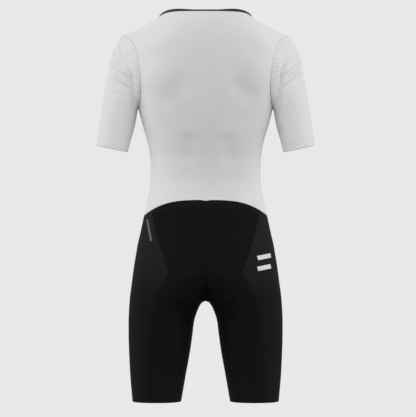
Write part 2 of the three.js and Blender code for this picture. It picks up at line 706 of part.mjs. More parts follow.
function sleeveRingPoint(at, angle) {
  const outer = new THREE.Vector3(ringCurve.outX(at), SHOULDER_TIP.y, ringCurve.outZ(at));
  const inner = new THREE.Vector3(ringCurve.inX(at), ARMPIT.y, ringCurve.inZ(at));
  const point = outer.clone().lerp(inner, (1 - Math.sin(angle)) / 2);
  point.y += ringCurve.depth(at) * Math.cos(angle);
  point.x -= ringCurve.bow(at) * Math.cos(angle) ** 2;
  return point;
}

// How far a point is pressed in by the creases of its sleeve
function creaseDepth(x, z, creases) {
  return creases.reduce((sum, crease) => {
    const runX = crease.toX - crease.fromX;
    const runZ = crease.toZ - crease.fromZ;
    const length = Math.hypot(runX, runZ);
    const along = ((x - crease.fromX) * runX + (z - crease.fromZ) * runZ) / length ** 2;
    const aside = ((x - crease.fromX) * runZ - (z - crease.fromZ) * runX) / length;
    const near = along > -CREASE_BEYOND && along < 1 + CREASE_BEYOND;
    const fade = near ? Math.sin(Math.PI * mix(CREASE_START, CREASE_END, clamp(along))) : 0;
    return sum + crease.depth * fade * Math.exp(-((aside / crease.spread) ** 2));
  }, 0);
}

function sleeveGrid(creases) {
  const half = ARMHOLE_STEPS;
  const around = Array.from({ length: 2 * half }, (_, k) => {
    const angle = k <= half ? Math.PI * (0.5 - k / half) : Math.PI * (0.5 - (2 * half - k) / half);
    const face = k <= half ? "back" : "front";
    return { angle: face === "back" ? angle : Math.PI - angle, armhole: armholePoint(angle, face) };
  });
  const grid = Array.from({ length: SLEEVE_STEPS + 1 }, (_, i) => {
    const at = i / SLEEVE_STEPS;
    return around.map(({ angle, armhole }) => {
      const start = sleeveRingPoint(0, angle);
      const hold = (1 - clamp(at / SLEEVE_HOLD)) ** 2;
      return sleeveRingPoint(at, angle).addScaledVector(armhole.clone().sub(start), hold);
    });
  });
  const normals = gridNormals(grid, true);
  grid.forEach((row, i) => row.forEach((point, j) => {
    const weight = clamp(i / SLEEVE_STEPS / CREASE_FADE_AT);
    const facing = clamp(2 * Math.abs(normals[i][j].y));
    point.addScaledVector(normals[i][j], -weight * facing * creaseDepth(point.x, point.z, creases));
  }));
  return grid;
}

const inwards = (normals) => normals.map((row) => row.map((normal) => normal.negate()));
const leftSleeve = sleeveGrid(SLEEVE_CREASES.left);
const rightSleeve = sleeveGrid(SLEEVE_CREASES.right).map((row) => row.map(mirrored));
addPanel("sleeve_left", leftSleeve, gridNormals(leftSleeve, true), { ring: true });
addPanel("sleeve_right", rightSleeve, inwards(gridNormals(rightSleeve, true)), { ring: true });

const gusset = shortsAcross(gussetSpots);
addPanel("gusset", gusset.points, gusset.normals);

// At seams, neighbours take the mean of their outward directions, so their edges stay parallel.
const keyOf = (point) => [point.x, point.y, point.z].map((value) => Math.round(value * 50)).join(",");
function sides(grid, ring) {
  const last = grid.length - 1;
  const columns = grid[0].length;
  const list = [];
  grid.forEach((row, i) => row.forEach((_, j) => {
    const onSide = !ring && (j === 0 || j === columns - 1);
    if (i === 0 || i === last || onSide) list.push([i, j]);
  }));
  return list;
}
const shared = new Map();
panels.forEach(({ points, normals, ring }) => sides(points, ring).forEach(([i, j]) => {
  const key = keyOf(points[i][j]);
  if (!shared.has(key)) shared.set(key, { body: new THREE.Vector3(), sleeve: new THREE.Vector3() });
  shared.get(key)[ring ? "sleeve" : "body"].add(normals[i][j]);
}));
panels.forEach((panel) => {
  const { points, normals, ring } = panel;
  panel.reach = points.map((row) => row.map(() => 1));
  sides(points, ring).forEach(([i, j]) => {
    const { body, sleeve } = shared.get(keyOf(points[i][j]));
    body.normalize();
    sleeve.normalize();
    normals[i][j].copy(body).add(sleeve).normalize();
    const folded = body.length() > 0 && sleeve.length() > 0;
    if (folded) panel.reach[i][j] = 1 / Math.max(LEAST_MITRE, normals[i][j].dot(body));
  });
});

// The unit direction from each edge point into its own panel, across the seam
function inwardSteps({ points, ring }) {
  const last = points.length - 1;
  const end = points[0].length - 1;
  const steps = [];
  const add = (i, j, towards, before, after) => {
    const along = after.clone().sub(before).normalize();
    const step = towards.clone().sub(points[i][j]);
    step.addScaledVector(along, -step.dot(along));
    if (step.length() > TINY) steps.push({ i, j, step: step.normalize() });
  };
  for (let j = 0; j <= end; j += 1) {
    const before = ring ? (j + end) % (end + 1) : Math.max(0, j - 1);
    const after = ring ? (j + 1) % (end + 1) : Math.min(end, j + 1);
    [[0, 1], [last, last - 1]].forEach(([i, next]) =>
      add(i, j, points[next][j], points[i][before], points[i][after]));
  }
  for (let i = 0; i <= last && !ring; i += 1) {
    const before = Math.max(0, i - 1);
    const after = Math.min(last, i + 1);
    [[0, 1], [end, end - 1]].forEach(([j, next]) =>
      add(i, j, points[i][next], points[before][j], points[after][j]));
  }
  return steps;
}
const meeting = new Map();
panels.forEach((panel) => {
  panel.steps = inwardSteps(panel);
  panel.steps.forEach(({ i, j, step }) => {
    const key = keyOf(panel.points[i][j]);
    if (!meeting.has(key)) meeting.set(key, { sum: new THREE.Vector3(), count: 0 });
    meeting.get(key).sum.add(step);
    meeting.get(key).count += 1;
  });
});

// Draws a panel's edge points in from the seam, further where two panels meet in a sharp fold.
function insetGrid({ points, steps }) {
  const moved = points.map((row) => row.map((point) => point.clone()));
  steps.forEach(({ i, j, step }) => {
    const { sum, count } = meeting.get(keyOf(points[i][j])) ?? { sum: step, count: 2 };
    const closeness = Math.min(1, sum.length() / Math.max(2, count));
    const opening = Math.max(SHARPEST_FOLD, Math.sqrt(1 - closeness ** 2));
    moved[i][j].addScaledVector(step, SEAM_GAP / 2 / opening);
  });
  return moved;
}

// A closed wall between an outer grid and the same grid moved inwards
function wallGeometry({ points, normals, wall, lift, ring, steps, reach }) {
  const outerPoints = steps ? insetGrid({ points, steps }) : points;
  const rows = points.length;
  const columns = points[0].length;
  const positions = [];
  const valueAt = (value, i, j) => (typeof value === "function" ? value(i, j) : value);
  [0, 1].forEach((layer) => outerPoints.forEach((row, i) => row.forEach((point, j) => {
    const through = layer ? valueAt(wall, i, j) * (reach ? reach[i][j] : 1) : 0;
    const depth = valueAt(lift, i, j) - through;
    const place = point.clone().addScaledVector(normals[i][j], depth);
    positions.push(place.x, place.y, place.z);
  })));
  const indices = [];
  const at = (layer, i, j) => layer * rows * columns + i * columns + (ring ? j % columns : j);
  const distance = (a, b) => Math.hypot(...[0, 1, 2].map((k) => positions[3 * a + k] - positions[3 * b + k]));
  const quad = (a, b, c, d) => {
    const acrossFirst = distance(a, c) <= distance(b, d) + TINY;
    indices.push(...(acrossFirst ? [a, b, c, a, c, d] : [b, c, d, b, d, a]));
  };
  const acrossCount = ring ? columns : columns - 1;
  for (let i = 0; i < rows - 1; i += 1) {
    for (let j = 0; j < acrossCount; j += 1) {
      quad(at(0, i, j), at(0, i + 1, j), at(0, i + 1, j + 1), at(0, i, j + 1));
      quad(at(1, i, j), at(1, i, j + 1), at(1, i + 1, j + 1), at(1, i + 1, j));
    }
  }
  for (let j = 0; j < acrossCount; j += 1) {
    quad(at(0, 0, j), at(0, 0, j + 1), at(1, 0, j + 1), at(1, 0, j));
    quad(at(0, rows - 1, j + 1), at(0, rows - 1, j), at(1, rows - 1, j), at(1, rows - 1, j + 1));
  }
  if (!ring) {
    for (let i = 0; i < rows - 1; i += 1) {
      quad(at(0, i + 1, 0), at(0, i, 0), at(1, i, 0), at(1, i + 1, 0));
      const end = columns - 1;
      quad(at(0, i, end), at(0, i + 1, end), at(1, i + 1, end), at(1, i, end));
    }
  }
  return facingOut(positions, indices);
}

// Turns the faces round where the body would be inside out.
function facingOut(positions, indices) {
  let volume = 0;
  const corner = (k) => new THREE.Vector3().fromArray(positions, 3 * indices[k]);
  for (let k = 0; k < indices.length; k += 3) {
    volume += corner(k).dot(corner(k + 1).cross(corner(k + 2)));
  }
  if (volume < 0) {
    for (let k = 0; k < indices.length; k += 3) {
      [indices[k + 1], indices[k + 2]] = [indices[k + 2], indices[k + 1]];
    }
  }
  const geometry = new THREE.BufferGeometry();
  geometry.setAttribute("position", new THREE.Float32BufferAttribute(positions, 3));
  geometry.setIndex(indices);
  geometry.computeVertexNormals();
  return geometry;
}

// Pieces that lie on a panel, made from its points and moved out or in
const trims = [];
function addTrim(name, points, normals, wall, lift) {
  trims.push({ name, points, normals, wall, lift, ring: false });
}

// Neck binding: a raised band round the neckline, open at the zip
const neckline = [0, 1].map((row) => [
  ...frontLeft[row],
  ...backGrid[row].slice(1),
  ...frontRight[row].slice(1),
]);
const bindingPoints = Array.from({ length: BINDING_ROWS + 1 }, (_, k) =>
  neckline[0].map((base, j) => {
    const up = base.clone().sub(neckline[1][j]).normalize().multiplyScalar(BINDING_FOLLOW);
    up.z += BINDING_UPRIGHT;
    const height = SEAM_GAP + BINDING_HIGH * (1 - k / BINDING_ROWS);
    return base.clone().addScaledVector(up.normalize(), height);
  }));
addTrim("neck_binding", bindingPoints, gridNormals(bindingPoints), BINDING_WALL, BINDING_PROUD);

// Waist hem: a flat band over the lower edge of the back
const backNormals = gridNormals(backGrid);
const hemRows = [HEM_HIGH, HEM_HIGH / 2, 0].map((height) =>
  backGrid[TOP_ROWS].map((base, j) => {
    const up = backGrid[TOP_ROWS - 1][j].clone().sub(base).normalize();
    return base.clone().addScaledVector(up, height + SEAM_GAP / 2);
  }));
addTrim("waist_hem", hemRows, hemRows.map(() => backNormals[TOP_ROWS]), TRIM_WALL, SEAM_GAP + TRIM_WALL);

// The zip's line down the middle of the front, with its distance from the top
const zipLine = frontLeft.map((row) => new THREE.Vector3(0, row[0].y, row[0].z));
const zipReach = [0];
zipLine.slice(1).forEach((point, i) => zipReach.push(zipReach[i] + point.distanceTo(zipLine[i])));
function zipAt(distance) {
  let i = 0;
  while (i < zipLine.length - 2 && zipReach[i + 1] < distance) i += 1;
  const t = (distance - zipReach[i]) / (zipReach[i + 1] - zipReach[i]);
  const down = zipLine[i + 1].clone().sub(zipLine[i]).normalize();
  return { point: zipLine[i].clone().lerp(zipLine[i + 1], t), down, out: new THREE.Vector3(0, down.z, -down.y) };
}

function zipStrip(from, to, half) {
  const between = zipReach.filter((reach) => reach > from + STOP_CLEAR && reach < to - STOP_CLEAR);
  const stops = [from, ...between, to];
  const points = stops.map((stop) => [-half, 0, half].map((x) => zipAt(stop).point.setX(x)));
  return { points, normals: stops.map((stop) => Array(3).fill(0).map(() => zipAt(stop).out.clone())) };
}
const zipLength = zipReach[zipReach.length - 1];
const tape = zipStrip(SEAM_GAP, zipLength - SEAM_GAP, TAPE_HALF);
const tapeDepth = WALL + TAPE_GAP;
addTrim("zip_tape", tape.points, tape.normals, TAPE_WALL, -tapeDepth);
const chain = zipStrip(CHAIN_FROM, zipLength - 2 * SEAM_GAP, CHAIN_HALF);
addTrim("zip_chain", chain.points, chain.normals, CHAIN_RISE + tapeDepth - SEAM_GAP, CHAIN_RISE);

// Side tab: a narrow strip with round ends, sewn on the left hip
const tabSpots = TAB_OUTLINE.map(({ at, half }) => [1, 0, -1].map((side) =>
  atX(mix(TAB_FROM.x, TAB_TO.x, at) + side * half, mix(TAB_FROM.z, TAB_TO.z, at))));
const tab = shortsPatch(tabSpots);
addTrim("side_tab", tab.points, tab.normals, TAB_WALL, SEAM_GAP + TAB_WALL);

// Seat pad: inside the shorts, from the seat under the crotch to the front, thin at its rim
const padSpot = ({ x, z, face }) => {
  if (face === "inseam") return 180;
  return face === "back" ? shortsAngle(x, z) : 360 + shortsAngle(x, z, -1);
};
const padAngle = columnCurve(PAD_OUTLINE, "at", "angle", padSpot);
const padHeight = columnCurve(PAD_OUTLINE, "at", "z");
const padMiddle = [
  ...crotchLine(1, PAD_BACK_Z, PAD_STEPS / 2),
  ...crotchLine(-1, PAD_FRONT_Z, PAD_STEPS / 2).reverse().slice(1).map(([phi, z]) => [phi + 360, z]),
];
const padSpots = padMiddle.map((middle, i) => {
  const rim = [padAngle(i / PAD_STEPS), padHeight(i / PAD_STEPS)];
  return Array.from({ length: PAD_ACROSS + 1 }, (_, j) =>
    [0, 1].map((axis) => mix(rim[axis], middle[axis], j / PAD_ACROSS)));
});
const pad = shortsAcross(padSpots);
const padWall = (i, j) => {
  const across = 1 - Math.abs(j - PAD_ACROSS) / PAD_ACROSS;
  const along = 1 - Math.abs(2 * (i / PAD_STEPS) - 1);
  const fullness = Math.min(1, PAD_RISE_ACROSS * across, PAD_RISE_ALONG * along);
  return mix(PAD_EDGE_THICK, PAD_THICK, fullness);
};
const padLift = (i) => {
  const crotch = clamp((i / PAD_STEPS - PAD_CLEAR_FROM) / (1 - 2 * PAD_CLEAR_FROM));
  return -(WALL + TAPE_GAP + PAD_CLEAR * Math.sqrt(Math.sin(Math.PI * crotch)));
};
addTrim("seat_pad", pad.points, pad.normals, padWall, padLift);

// Solid joins for the small hard pieces
const wasm = await Module();
wasm.setup();
function solidOf(geometry) {
  const bare = new THREE.BufferGeometry();
  bare.setAttribute("position", geometry.getAttribute("position"));
  bare.setIndex(geometry.getIndex());
  const merged = mergeVertices(bare);
  const triVerts = merged.index
    ? new Uint32Array(merged.index.array)
    : Uint32Array.from({ length: merged.getAttribute("position").count }, (_, i) => i);
  return new wasm.Manifold(new wasm.Mesh({
    numProp: 3,
    vertProperties: merged.getAttribute("position").array,
    triVerts,
  }));
}
function joined(geometries) {
  const solid = geometries.map(solidOf).reduce((sum, next) => sum.add(next));
  const mesh = solid.getMesh();
  const geometry = new THREE.BufferGeometry();
  geometry.setAttribute("position", new THREE.BufferAttribute(Float32Array.from(mesh.vertProperties), 3));
  geometry.setIndex([...mesh.triVerts]);
  geometry.computeVertexNormals();
  return geometry;
}
const block = (x, y, z, cx, cy, cz) => new THREE.BoxGeometry(x, y, z).translate(cx, cy, cz);

// The slider stands on the tape: X across, Y out of the cloth, Z up along the zip.
function sliderGeometry() {
  const foot = -(tapeDepth - SEAM_GAP);
  const plateFrom = SEAM_GAP;
  const plateTop = plateFrom + SLIDER.plate;
  const tall = SLIDER.high + SLIDER.low;
  const middle = (SLIDER.high - SLIDER.low) / 2;
  const plate = block(2 * SLIDER.half, SLIDER.plate, tall, 0, plateFrom + SLIDER.plate / 2, middle);
  const keelTall = plateFrom - foot + 2 * JOIN;
  const keel = block(2 * SLIDER.keelHalf, keelTall, tall - 1, 0, foot + keelTall / 2, middle);
  const legs = [1, -1].map((side) => block(2 * CROWN.half, CROWN.rise, CROWN.leg,
    0, plateTop + CROWN.rise / 2 - JOIN, side * (CROWN.high - CROWN.leg / 2)));
  const topOut = plateTop + CROWN.rise - CROWN.top / 2 - JOIN;
  const top = block(2 * CROWN.half, CROWN.top, 2 * CROWN.high, 0, topOut, 0);
  return joined([plate, keel, ...legs, top]);
}

// The pull hangs from a bar through the crown; its origin is the bar's axis.
function pullGeometry() {
  const bar = new THREE.CylinderGeometry(PULL.bar, PULL.bar, 2 * PULL.outer, 12).rotateZ(Math.PI / 2);
  const armWide = PULL.outer - PULL.inner;
  const arms = [1, -1].map((side) => block(armWide, PULL.wall, PULL.arm + PULL.bar,
    side * (PULL.inner + armWide / 2), 0, (PULL.bar - PULL.arm - JOIN) / 2));
  const outline = new THREE.Shape();
  const plateTall = PULL.long - PULL.arm;
  outline.moveTo(-PULL.outer, 2 * JOIN);
  outline.lineTo(-PULL.outer, -(plateTall - PULL.outer));
  outline.absarc(0, -(plateTall - PULL.outer), PULL.outer, Math.PI, 2 * Math.PI, false);
  outline.lineTo(PULL.outer, 2 * JOIN);
  const plate = new THREE.ExtrudeGeometry(outline, { depth: PULL.wall, bevelEnabled: false, curveSegments: 8 });
  plate.rotateX(Math.PI / 2).translate(0, PULL.wall / 2, -PULL.arm);
  return joined([bar, ...arms, plate]);
}

const FINISH = {
  back_body: ["white", 0.75],
  front_left: ["white", 0.75],
  front_right: ["white", 0.75],
  sleeve_left: ["sleeve", 0.7],
  sleeve_right: ["sleeve", 0.7],
  waist_hem: ["white", 0.7],
  side_tab: ["grey", 0.6],
  seat_pad: ["pad", 0.9],
  side_panel_left: ["gloss", 0.5],
  side_panel_right: ["gloss", 0.5],
};
function material(name, colour, roughness = 0.8, metalness = 0) {
  const made = new THREE.MeshStandardMaterial({ color: COLOURS[colour], roughness, metalness });
  made.name = name;
  return made;
}

const suit = new THREE.Group();
[...panels, ...trims].forEach((piece) => {
  const [colour, roughness] = FINISH[piece.name] ?? ["black", 0.7];
  const mesh = new THREE.Mesh(wallGeometry(piece), material(piece.name, colour, roughness));
  mesh.name = piece.name;
  suit.add(mesh);
});

// The slider's group is turned so that its Z runs up the zip and its Y points out of the front.
const sliderPlace = zipAt(SLIDER_AT);
const sliderGroup = new THREE.Group();
const zipUp = sliderPlace.down.clone().negate();
sliderGroup.matrixAutoUpdate = false;
sliderGroup.matrix.makeBasis(new THREE.Vector3(-1, 0, 0), sliderPlace.out, zipUp);
sliderGroup.matrix.setPosition(sliderPlace.point);
const slider = new THREE.Mesh(sliderGeometry(), material("zip_slider", "metal", 0.4, 0.8));
slider.name = "zip_slider";
const pull = new THREE.Mesh(pullGeometry(), material("zip_pull", "metal", 0.4, 0.8));
pull.name = "zip_pull";
pull.position.set(0, SEAM_GAP + SLIDER.plate + PULL.axisOut, -PULL.axisLow);
pull.rotation.x = -PULL_LEAN * RAD;
sliderGroup.add(slider, pull);
suit.add(sliderGroup);

export default suit;
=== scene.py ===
"""The looks of a short-sleeved triathlon suit: knit top, dark panelled shorts, seat pad and front zip.

Sizes in the tables are in millimetres. The front faces -Y and the wearer's left side is +X.
"""

import contextlib
import math

import bmesh
import bpy
import numpy as np
from bpy.props import FloatProperty, FloatVectorProperty, PointerProperty
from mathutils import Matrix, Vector


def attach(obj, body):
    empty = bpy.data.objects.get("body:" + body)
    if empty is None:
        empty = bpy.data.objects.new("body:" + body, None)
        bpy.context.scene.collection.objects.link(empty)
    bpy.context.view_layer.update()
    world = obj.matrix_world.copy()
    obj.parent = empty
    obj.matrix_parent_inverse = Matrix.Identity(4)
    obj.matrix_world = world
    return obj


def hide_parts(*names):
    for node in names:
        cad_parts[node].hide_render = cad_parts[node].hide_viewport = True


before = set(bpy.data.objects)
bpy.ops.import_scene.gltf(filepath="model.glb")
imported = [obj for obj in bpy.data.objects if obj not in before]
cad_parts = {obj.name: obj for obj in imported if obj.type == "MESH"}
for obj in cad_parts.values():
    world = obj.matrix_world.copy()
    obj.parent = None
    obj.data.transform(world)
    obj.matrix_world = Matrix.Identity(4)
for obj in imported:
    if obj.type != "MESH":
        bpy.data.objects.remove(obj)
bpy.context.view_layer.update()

bl_info = {
    "name": "Triathlon suit",
    "version": (1, 0, 0),
    "blender": (4, 5, 0),
    "location": "View3D > Sidebar > Suit",
    "description": "Builds a worn triathlon suit panel by panel, with its knit, seams and stitching",
    "category": "Object",
}

# Units and names, and the body that every piece rides on
MM = 0.001
SUIT = "suit"
UV_NAME = "cloth"
SIDES = (("left", 1), ("right", -1))
ALL_EDGES = ("left", "right", "top", "bottom")
NO_EDGE = 1000.0
SEAM_GAP = 0.3
MERGE = 1e-6

# Points inside the suit, from which its walls face away
IN_CHEST = (0, 0, -220)
IN_SLEEVE = np.array((190, 0, -200))
ABOVE_CROTCH = (0, 0, -560)
LEG_MIDDLE_X = 70

# Main heights
WAIST_BACK_Z = -418.5
WAIST_SIDE_DROP = 36.0
WAIST_HALF = 139.56
WAIST_DIP = 1.8
WAIST_DIP_WIDE = 7.0
WAIST_BACK_POWER = 3.3
WAIST_FRONT_Z = -447.0
WAIST_FRONT_POWER = 2.5
CROTCH_Z = -646.0
LEG_HEM_Z = -873.0
SHOULDER_TIP = (189.0, -2.0, -46.0)
ARMPIT = (152.5, -2.0, -209.0)

# Roundness of the body's level sections: 2 is an ellipse, more is squarer, less is more pointed.
# The last one is how late it comes back towards the armpit.
BODY_ROUND = 2.3
TIP_ROUND = 1.2
ARMHOLE_ROUND = 1.4
ARMPIT_EASE = 1.6

# How many steps each stretch of a seam takes in the finished cloth
SHOULDER_STEPS = 20
ARMHOLE_STEPS = 60
SIDE_STEPS = 70
BACK_STEPS = 44
FLANK_STEPS = 14
FRONT_STEPS = 40
FRONT_FLANK_STEPS = 18
STRIP_ROWS = 8
YOKE_STEPS = 44
SEAT_CENTRE_STEPS = 24
GUSSET_STEPS = 18
GUSSET_ACROSS = 10
INSEAM_STEPS = 16
LEG_STEPS = 50
SLEEVE_STEPS = 96
FINE_STEPS = 240

# How often a place is bettered: a ring angle, the waist's height, the lower seam's height
HALVINGS = 26
WAIST_ROUNDS = 6
LOWER_SEAM_ROUNDS = 8

# Heights of the top's middle line, and how late each row drops to its edge there
TOP_MIDDLE = {
    "back": (7.0, -40.0, -212.0, WAIST_BACK_Z - WAIST_DIP),
    "front": (-56.0, -74.0, -214.0, WAIST_FRONT_Z),
}
TOP_DROP = {"back": (7.0, 2.0, 2.0, 3.3), "front": (2.5, 1.6, 2.0, 3.3)}

# z, half width, depth of the back, depth of the front
TOP_SECTIONS = (
    (7, 106, 58, 50), (-20, 130, 77, 58), (-56, 150, 93, 69), (-100, 154, 103, 82), (-160, 154, 107, 96),
    (-209, 152.5, 103, 101), (-228, 148, 100, 100), (-255, 141, 94, 97), (-296, 128.6, 83, 91),
    (-340, 124.3, 74, 87), (-377, 124.3, 72, 86), (-405, 128.8, 75, 88), (-432, 134.7, 81, 90),
    (-458, 140.5, 88, 91),
)
# z, outer half width, half gap between the legs, depth of the back, depth of the front
SHORTS_SECTIONS = (
    (-400, 127.8, -127.8, 74, 88), (-432, 134.7, -134.7, 81, 90), (-454, 139.5, -139.5, 87, 91),
    (-491, 147.3, -147.3, 98, 92), (-518, 153.7, -153.7, 106, 92), (-545, 158.3, -152, 113, 91),
    (-572, 162.7, -112, 118, 90), (-599, 166.3, -64, 120, 88), (-615, 168.4, -38, 119, 87),
    (-630, 170.4, -20, 115, 85), (-640, 171.5, -10, 112, 84), (-646, 172, 0, 110, 83),
    (-654, 172.6, 11.2, 107, 82), (-667, 173.4, 17.8, 102, 81), (-694, 174.4, 26.1, 94, 79),
    (-722, 174.4, 29.6, 88, 77), (-762, 173.2, 35.3, 81, 73), (-817, 170.4, 45.3, 75, 68),
    (-873, 165.5, 55, 71, 64), (-890, 164, 58, 70, 63),
)
# z and half gap as the outer thigh follows it, and the shares of the section that it blends between
OUTER_GAP = (
    (-400, -127.8), (-432, -134.7), (-454, -139.5), (-491, -147.3), (-518, -150), (-545, -142), (-572, -112),
    (-599, -70), (-630, -34), (-660, -7), (-694, 14), (-722, 25), (-762, 35.3), (-817, 45.3), (-873, 55),
    (-890, 58),
)
GAP_BLEND = (-0.3, 0.6)
# Share along the shoulder seam, x, z
SHOULDER_LINE = ((0, 106, -6), (0.12, 112, -12), (0.4, 137.6, -24), (0.72, 166, -38), (1, 189, -46))
# z, x of the back armhole seam, x of the front armhole seam
ARMHOLE_LINE = (
    (-46, 189, 189), (-51, 177, 177), (-57, 167, 167), (-72, 159, 155), (-90, 154, 147), (-125, 148, 140),
    (-150, 145.5, 138), (-170, 145, 139.5), (-190, 147, 142), (-204, 150, 148), (-209, 152.5, 152.5),
)
ARMHOLE_DEPTH = {"back": 64.0, "front": -56.0}
# Share along the sleeve, outer x and z, inner x and z, half depth, bow to the body
SLEEVE_RINGS = (
    (0, 189, -46, 152.5, -209, 60, 22), (0.08, 202, -65, 153.6, -213, 62, 18),
    (0.18, 211.5, -87, 154.6, -217.5, 62.5, 13), (0.28, 217.5, -109, 155.4, -223, 61, 9),
    (0.38, 221.3, -134, 156.4, -230, 58.5, 6), (0.5, 226.5, -160, 158, -239, 55.5, 3),
    (0.62, 231, -190, 160.4, -251, 52.5, 1), (0.75, 237, -226, 164.3, -266, 50, 0),
    (0.88, 242.7, -262, 170, -286, 48, 0), (1, 248, -294, 176.5, -310, 46.5, 0),
)
SLEEVE_HOLD = 0.3
SEAM_WELT = 0.55
SEAM_WELT_AT = 3.6
SEAM_WELT_WIDE = 2.2
KNIT_TILT = math.radians(6)
DIAMOND_SLANT = math.radians(36.5)
DIAMOND_SHARP = 10.0
FOLD_REACH = 0.55
FRONT_FOLD_SHARE = 0.7

# Folds pressed into a surface (below 0 raised), in the back's plane: from x, z, to x, z, depth, spread
SLEEVE_FOLDS = {
    "left": (
        (214, -122, 174, -152, 5.0, 6), (209, -108, 178, -138, -3.2, 5), (213, -90, 184, -120, 3.4, 6),
        (197, -62, 170, -120, 3.8, 7), (207, -72, 178, -128, -2.8, 4.5), (184, -80, 164, -140, -3.0, 4),
        (178, -92, 162, -152, 3.0, 3.5), (211, -136, 172, -160, -3.4, 4.5), (206, -148, 170, -170, 2.8, 5),
        (214, -178, 178, -186, 1.4, 8), (190, -56, 168, -96, 2.0, 4), (168, -134, 160, -212, 8.0, 6.5),
    ),
    "right": (
        (218, -112, 180, -146, 4.8, 6), (214, -98, 182, -132, -3.2, 5), (203, -66, 176, -120, 3.8, 6),
        (196, -88, 172, -136, -3.0, 4.5), (179, -98, 168, -146, 3.0, 4), (164, -112, 162, -154, -2.0, 3.5),
        (216, -126, 178, -154, -3.4, 4.5), (212, -140, 176, -166, 2.8, 5), (188, -62, 168, -100, 2.0, 4),
        (171, -134, 161, -212, 8.0, 6.5),
    ),
}
# Soft hollows (and swells, below 0) of the back
BACK_FOLDS = (
    (100, -204, 38, -154, 8.5, 28), (94, -250, 30, -206, 5.5, 38), (-62, -156, -110, -194, 8.5, 25),
    (-54, -204, -106, -242, 5.5, 36), (34, -276, 38, -330, 5.0, 20), (36, -314, 44, -386, 3.0, 30),
    (-49, -278, -54, -334, 5.5, 20), (-50, -314, -60, -390, 3.0, 30), (-55, -24, -54, -150, 3.4, 17),
    (54, -50, 52, -150, 3.2, 17), (130, -78, 62, -44, -3.4, 18), (-78, -38, -152, -76, -3.4, 18),
    (118, -116, 130, -164, -2.0, 13), (-94, -98, -106, -124, -1.4, 11), (112, -316, 114, -424, 3.0, 8),
    (66, -330, 58, -420, -3.5, 27), (-72, -330, -60, -420, -3.0, 27), (0, -200, 0, -300, -1.2, 22),
)
SEAT_FOLDS = (
    (62, -636, 22, -664, -3.0, 8), (98, -646, 42, -702, 1.8, 8), (112, -664, 60, -716, -1.0, 8),
    (70, -600, 84, -660, 1.0, 10),
)

# Seams of the shorts
STRIP_HALF = 120.0
YOKE_SIDE_SEAM = ((-450, 120), (-490, 111), (-535, 97), (-578, 81))
SEAT_SIDE_SEAM = ((-578, 81), (-615, 100), (-653, 116), (-700, 124), (-770, 130), (-873, 131))
FRONT_SIDE_SEAM = ((-452, 108), (-560, 118), (-650, 132), (-700, 136), (-780, 134), (-873, 128))
LOWER_SEAM = ((32.5, -734), (78, -725), (124, -700))
STRIP_LOW_Z = -434.0
STRIP_LOW_DROP = 16.0
STRIP_LOW_POWER = 2.6
ARC_Z = -562.5
ARC_DROP = 15.5
ARC_HALF = 81.0
INSEAM_SEAM_Z = -736.0
INSEAM_TURN = 20.0
GUSSET_TOP_Z = -630.0
GUSSET_TOP_HALF = 3.0
GUSSET_SHOULDER = (21.0, -650.0)
GUSSET_LOW_Z = -688.0

# The seat pad's outline: share, x, z, side (1 back, 0 inseam, -1 front)
PAD_OUTLINE = (
    (0, 20, -575, 1), (0.1, 58, -590, 1), (0.24, 79, -622, 1), (0.36, 66, -655, 1), (0.46, 44, -673, 1),
    (0.56, 0, -680, 0), (0.68, 40, -664, -1), (0.82, 46, -634, -1), (1, 22, -593, -1),
)
# Spots of painted light and shade in the knits' colour: painted shade deeper in the middle of the back,
# the cloth's own deeper tone with painted shade over the pad, and a painted sheen lighter on the hips:
# x, z, half width, half height (metres), rise, tone
BACK_PAINTED_SHADE = (-0.02, -0.2, 0.146, 0.25, 1.45, 0.87)
# Over the pad: the cloth's own deeper tone where the pad presses it, together with painted shade
PAD_TONE_AND_PAINTED_SHADE = (0.0, -0.645, 0.078, 0.072, 3.0, 0.68)
# A painted sheen: the side panels' colour made lighter on the hips
HIP_PAINTED_SHINE = (0.0, -0.455, 0.4, 0.18, 1.0, 1.9)
# The pad's zigzag stitching as it shows on the seat: share, x, z
PAD_STITCHING = (
    (0, 0, -575.5), (0.13, 28, -578), (0.27, 52, -589), (0.4, 70, -606), (0.54, 79, -629), (0.68, 78, -652),
    (0.82, 68, -676), (0.92, 58, -693), (1, 50, -708),
)
PAD_BACK_Z = -574.0
PAD_FRONT_Z = -592.0
PAD_STEPS = 56
PAD_ACROSS = 18
PAD_THICK = 6.0
PAD_EDGE_THICK = 2.0
PAD_GAP = 1.9
PAD_CLEAR = 3.2
# The pad's channels: share of the way from the middle to the rim, width
PAD_CHANNELS = ((0.0, 0.08), (0.55, 0.05))
PAD_CHANNEL_DEEP = 0.35
# How steeply the pad rises from its sides and ends, and the stretch of it that lies deeper under the cloth
PAD_RIM_RISE = 2.5
PAD_END_RISE = 4
PAD_DEEP_FROM = 0.08
PAD_DEEP_TO = 0.92

# Colour of the threads, and roughness where it isn't the usual one
THREADS = {
    "grey_thread": ((0.62, 0.62, 0.63),),
    "light_thread": ((0.02, 0.02, 0.021),),
    "faint_thread": ((0.014, 0.014, 0.0145),),
    "black_thread": ((0.009, 0.009, 0.0095),),
    "dark_thread": ((0.0025, 0.0025, 0.0027), 0.9),
}
# Colour, roughness and metal of the hard finishes
FINISHES = {
    "zip_plastic": ((0.012, 0.012, 0.013), 0.45, 0.0),
    "zip_paint": ((0.02, 0.02, 0.021), 0.35, 0.6),
    "reflective_film": ((0.55, 0.55, 0.55), 0.45, 0.0),
}
PAD_COLOURS = ((0.02, 0.02, 0.022), (0.012, 0.012, 0.014))

# Look and slot of the shorts panels that aren't plain black knit
PANEL_LOOKS = {
    "waist_strip": ("strip_knit", "black_cloth"),
    "seat": ("seat_knit", "black_cloth"),
    "side_panel": ("gloss_knit", "glossy_cloth"),
}
# Rows of stitches beside a seam of the shorts: seam, distance from it
STITCHED_SEAMS = {"arc": ("arc", 2.6), "strip": ("strip_low", -2.2), "yoke_side": ("yoke_side", 2.4)}
CORD_SIDES = 8

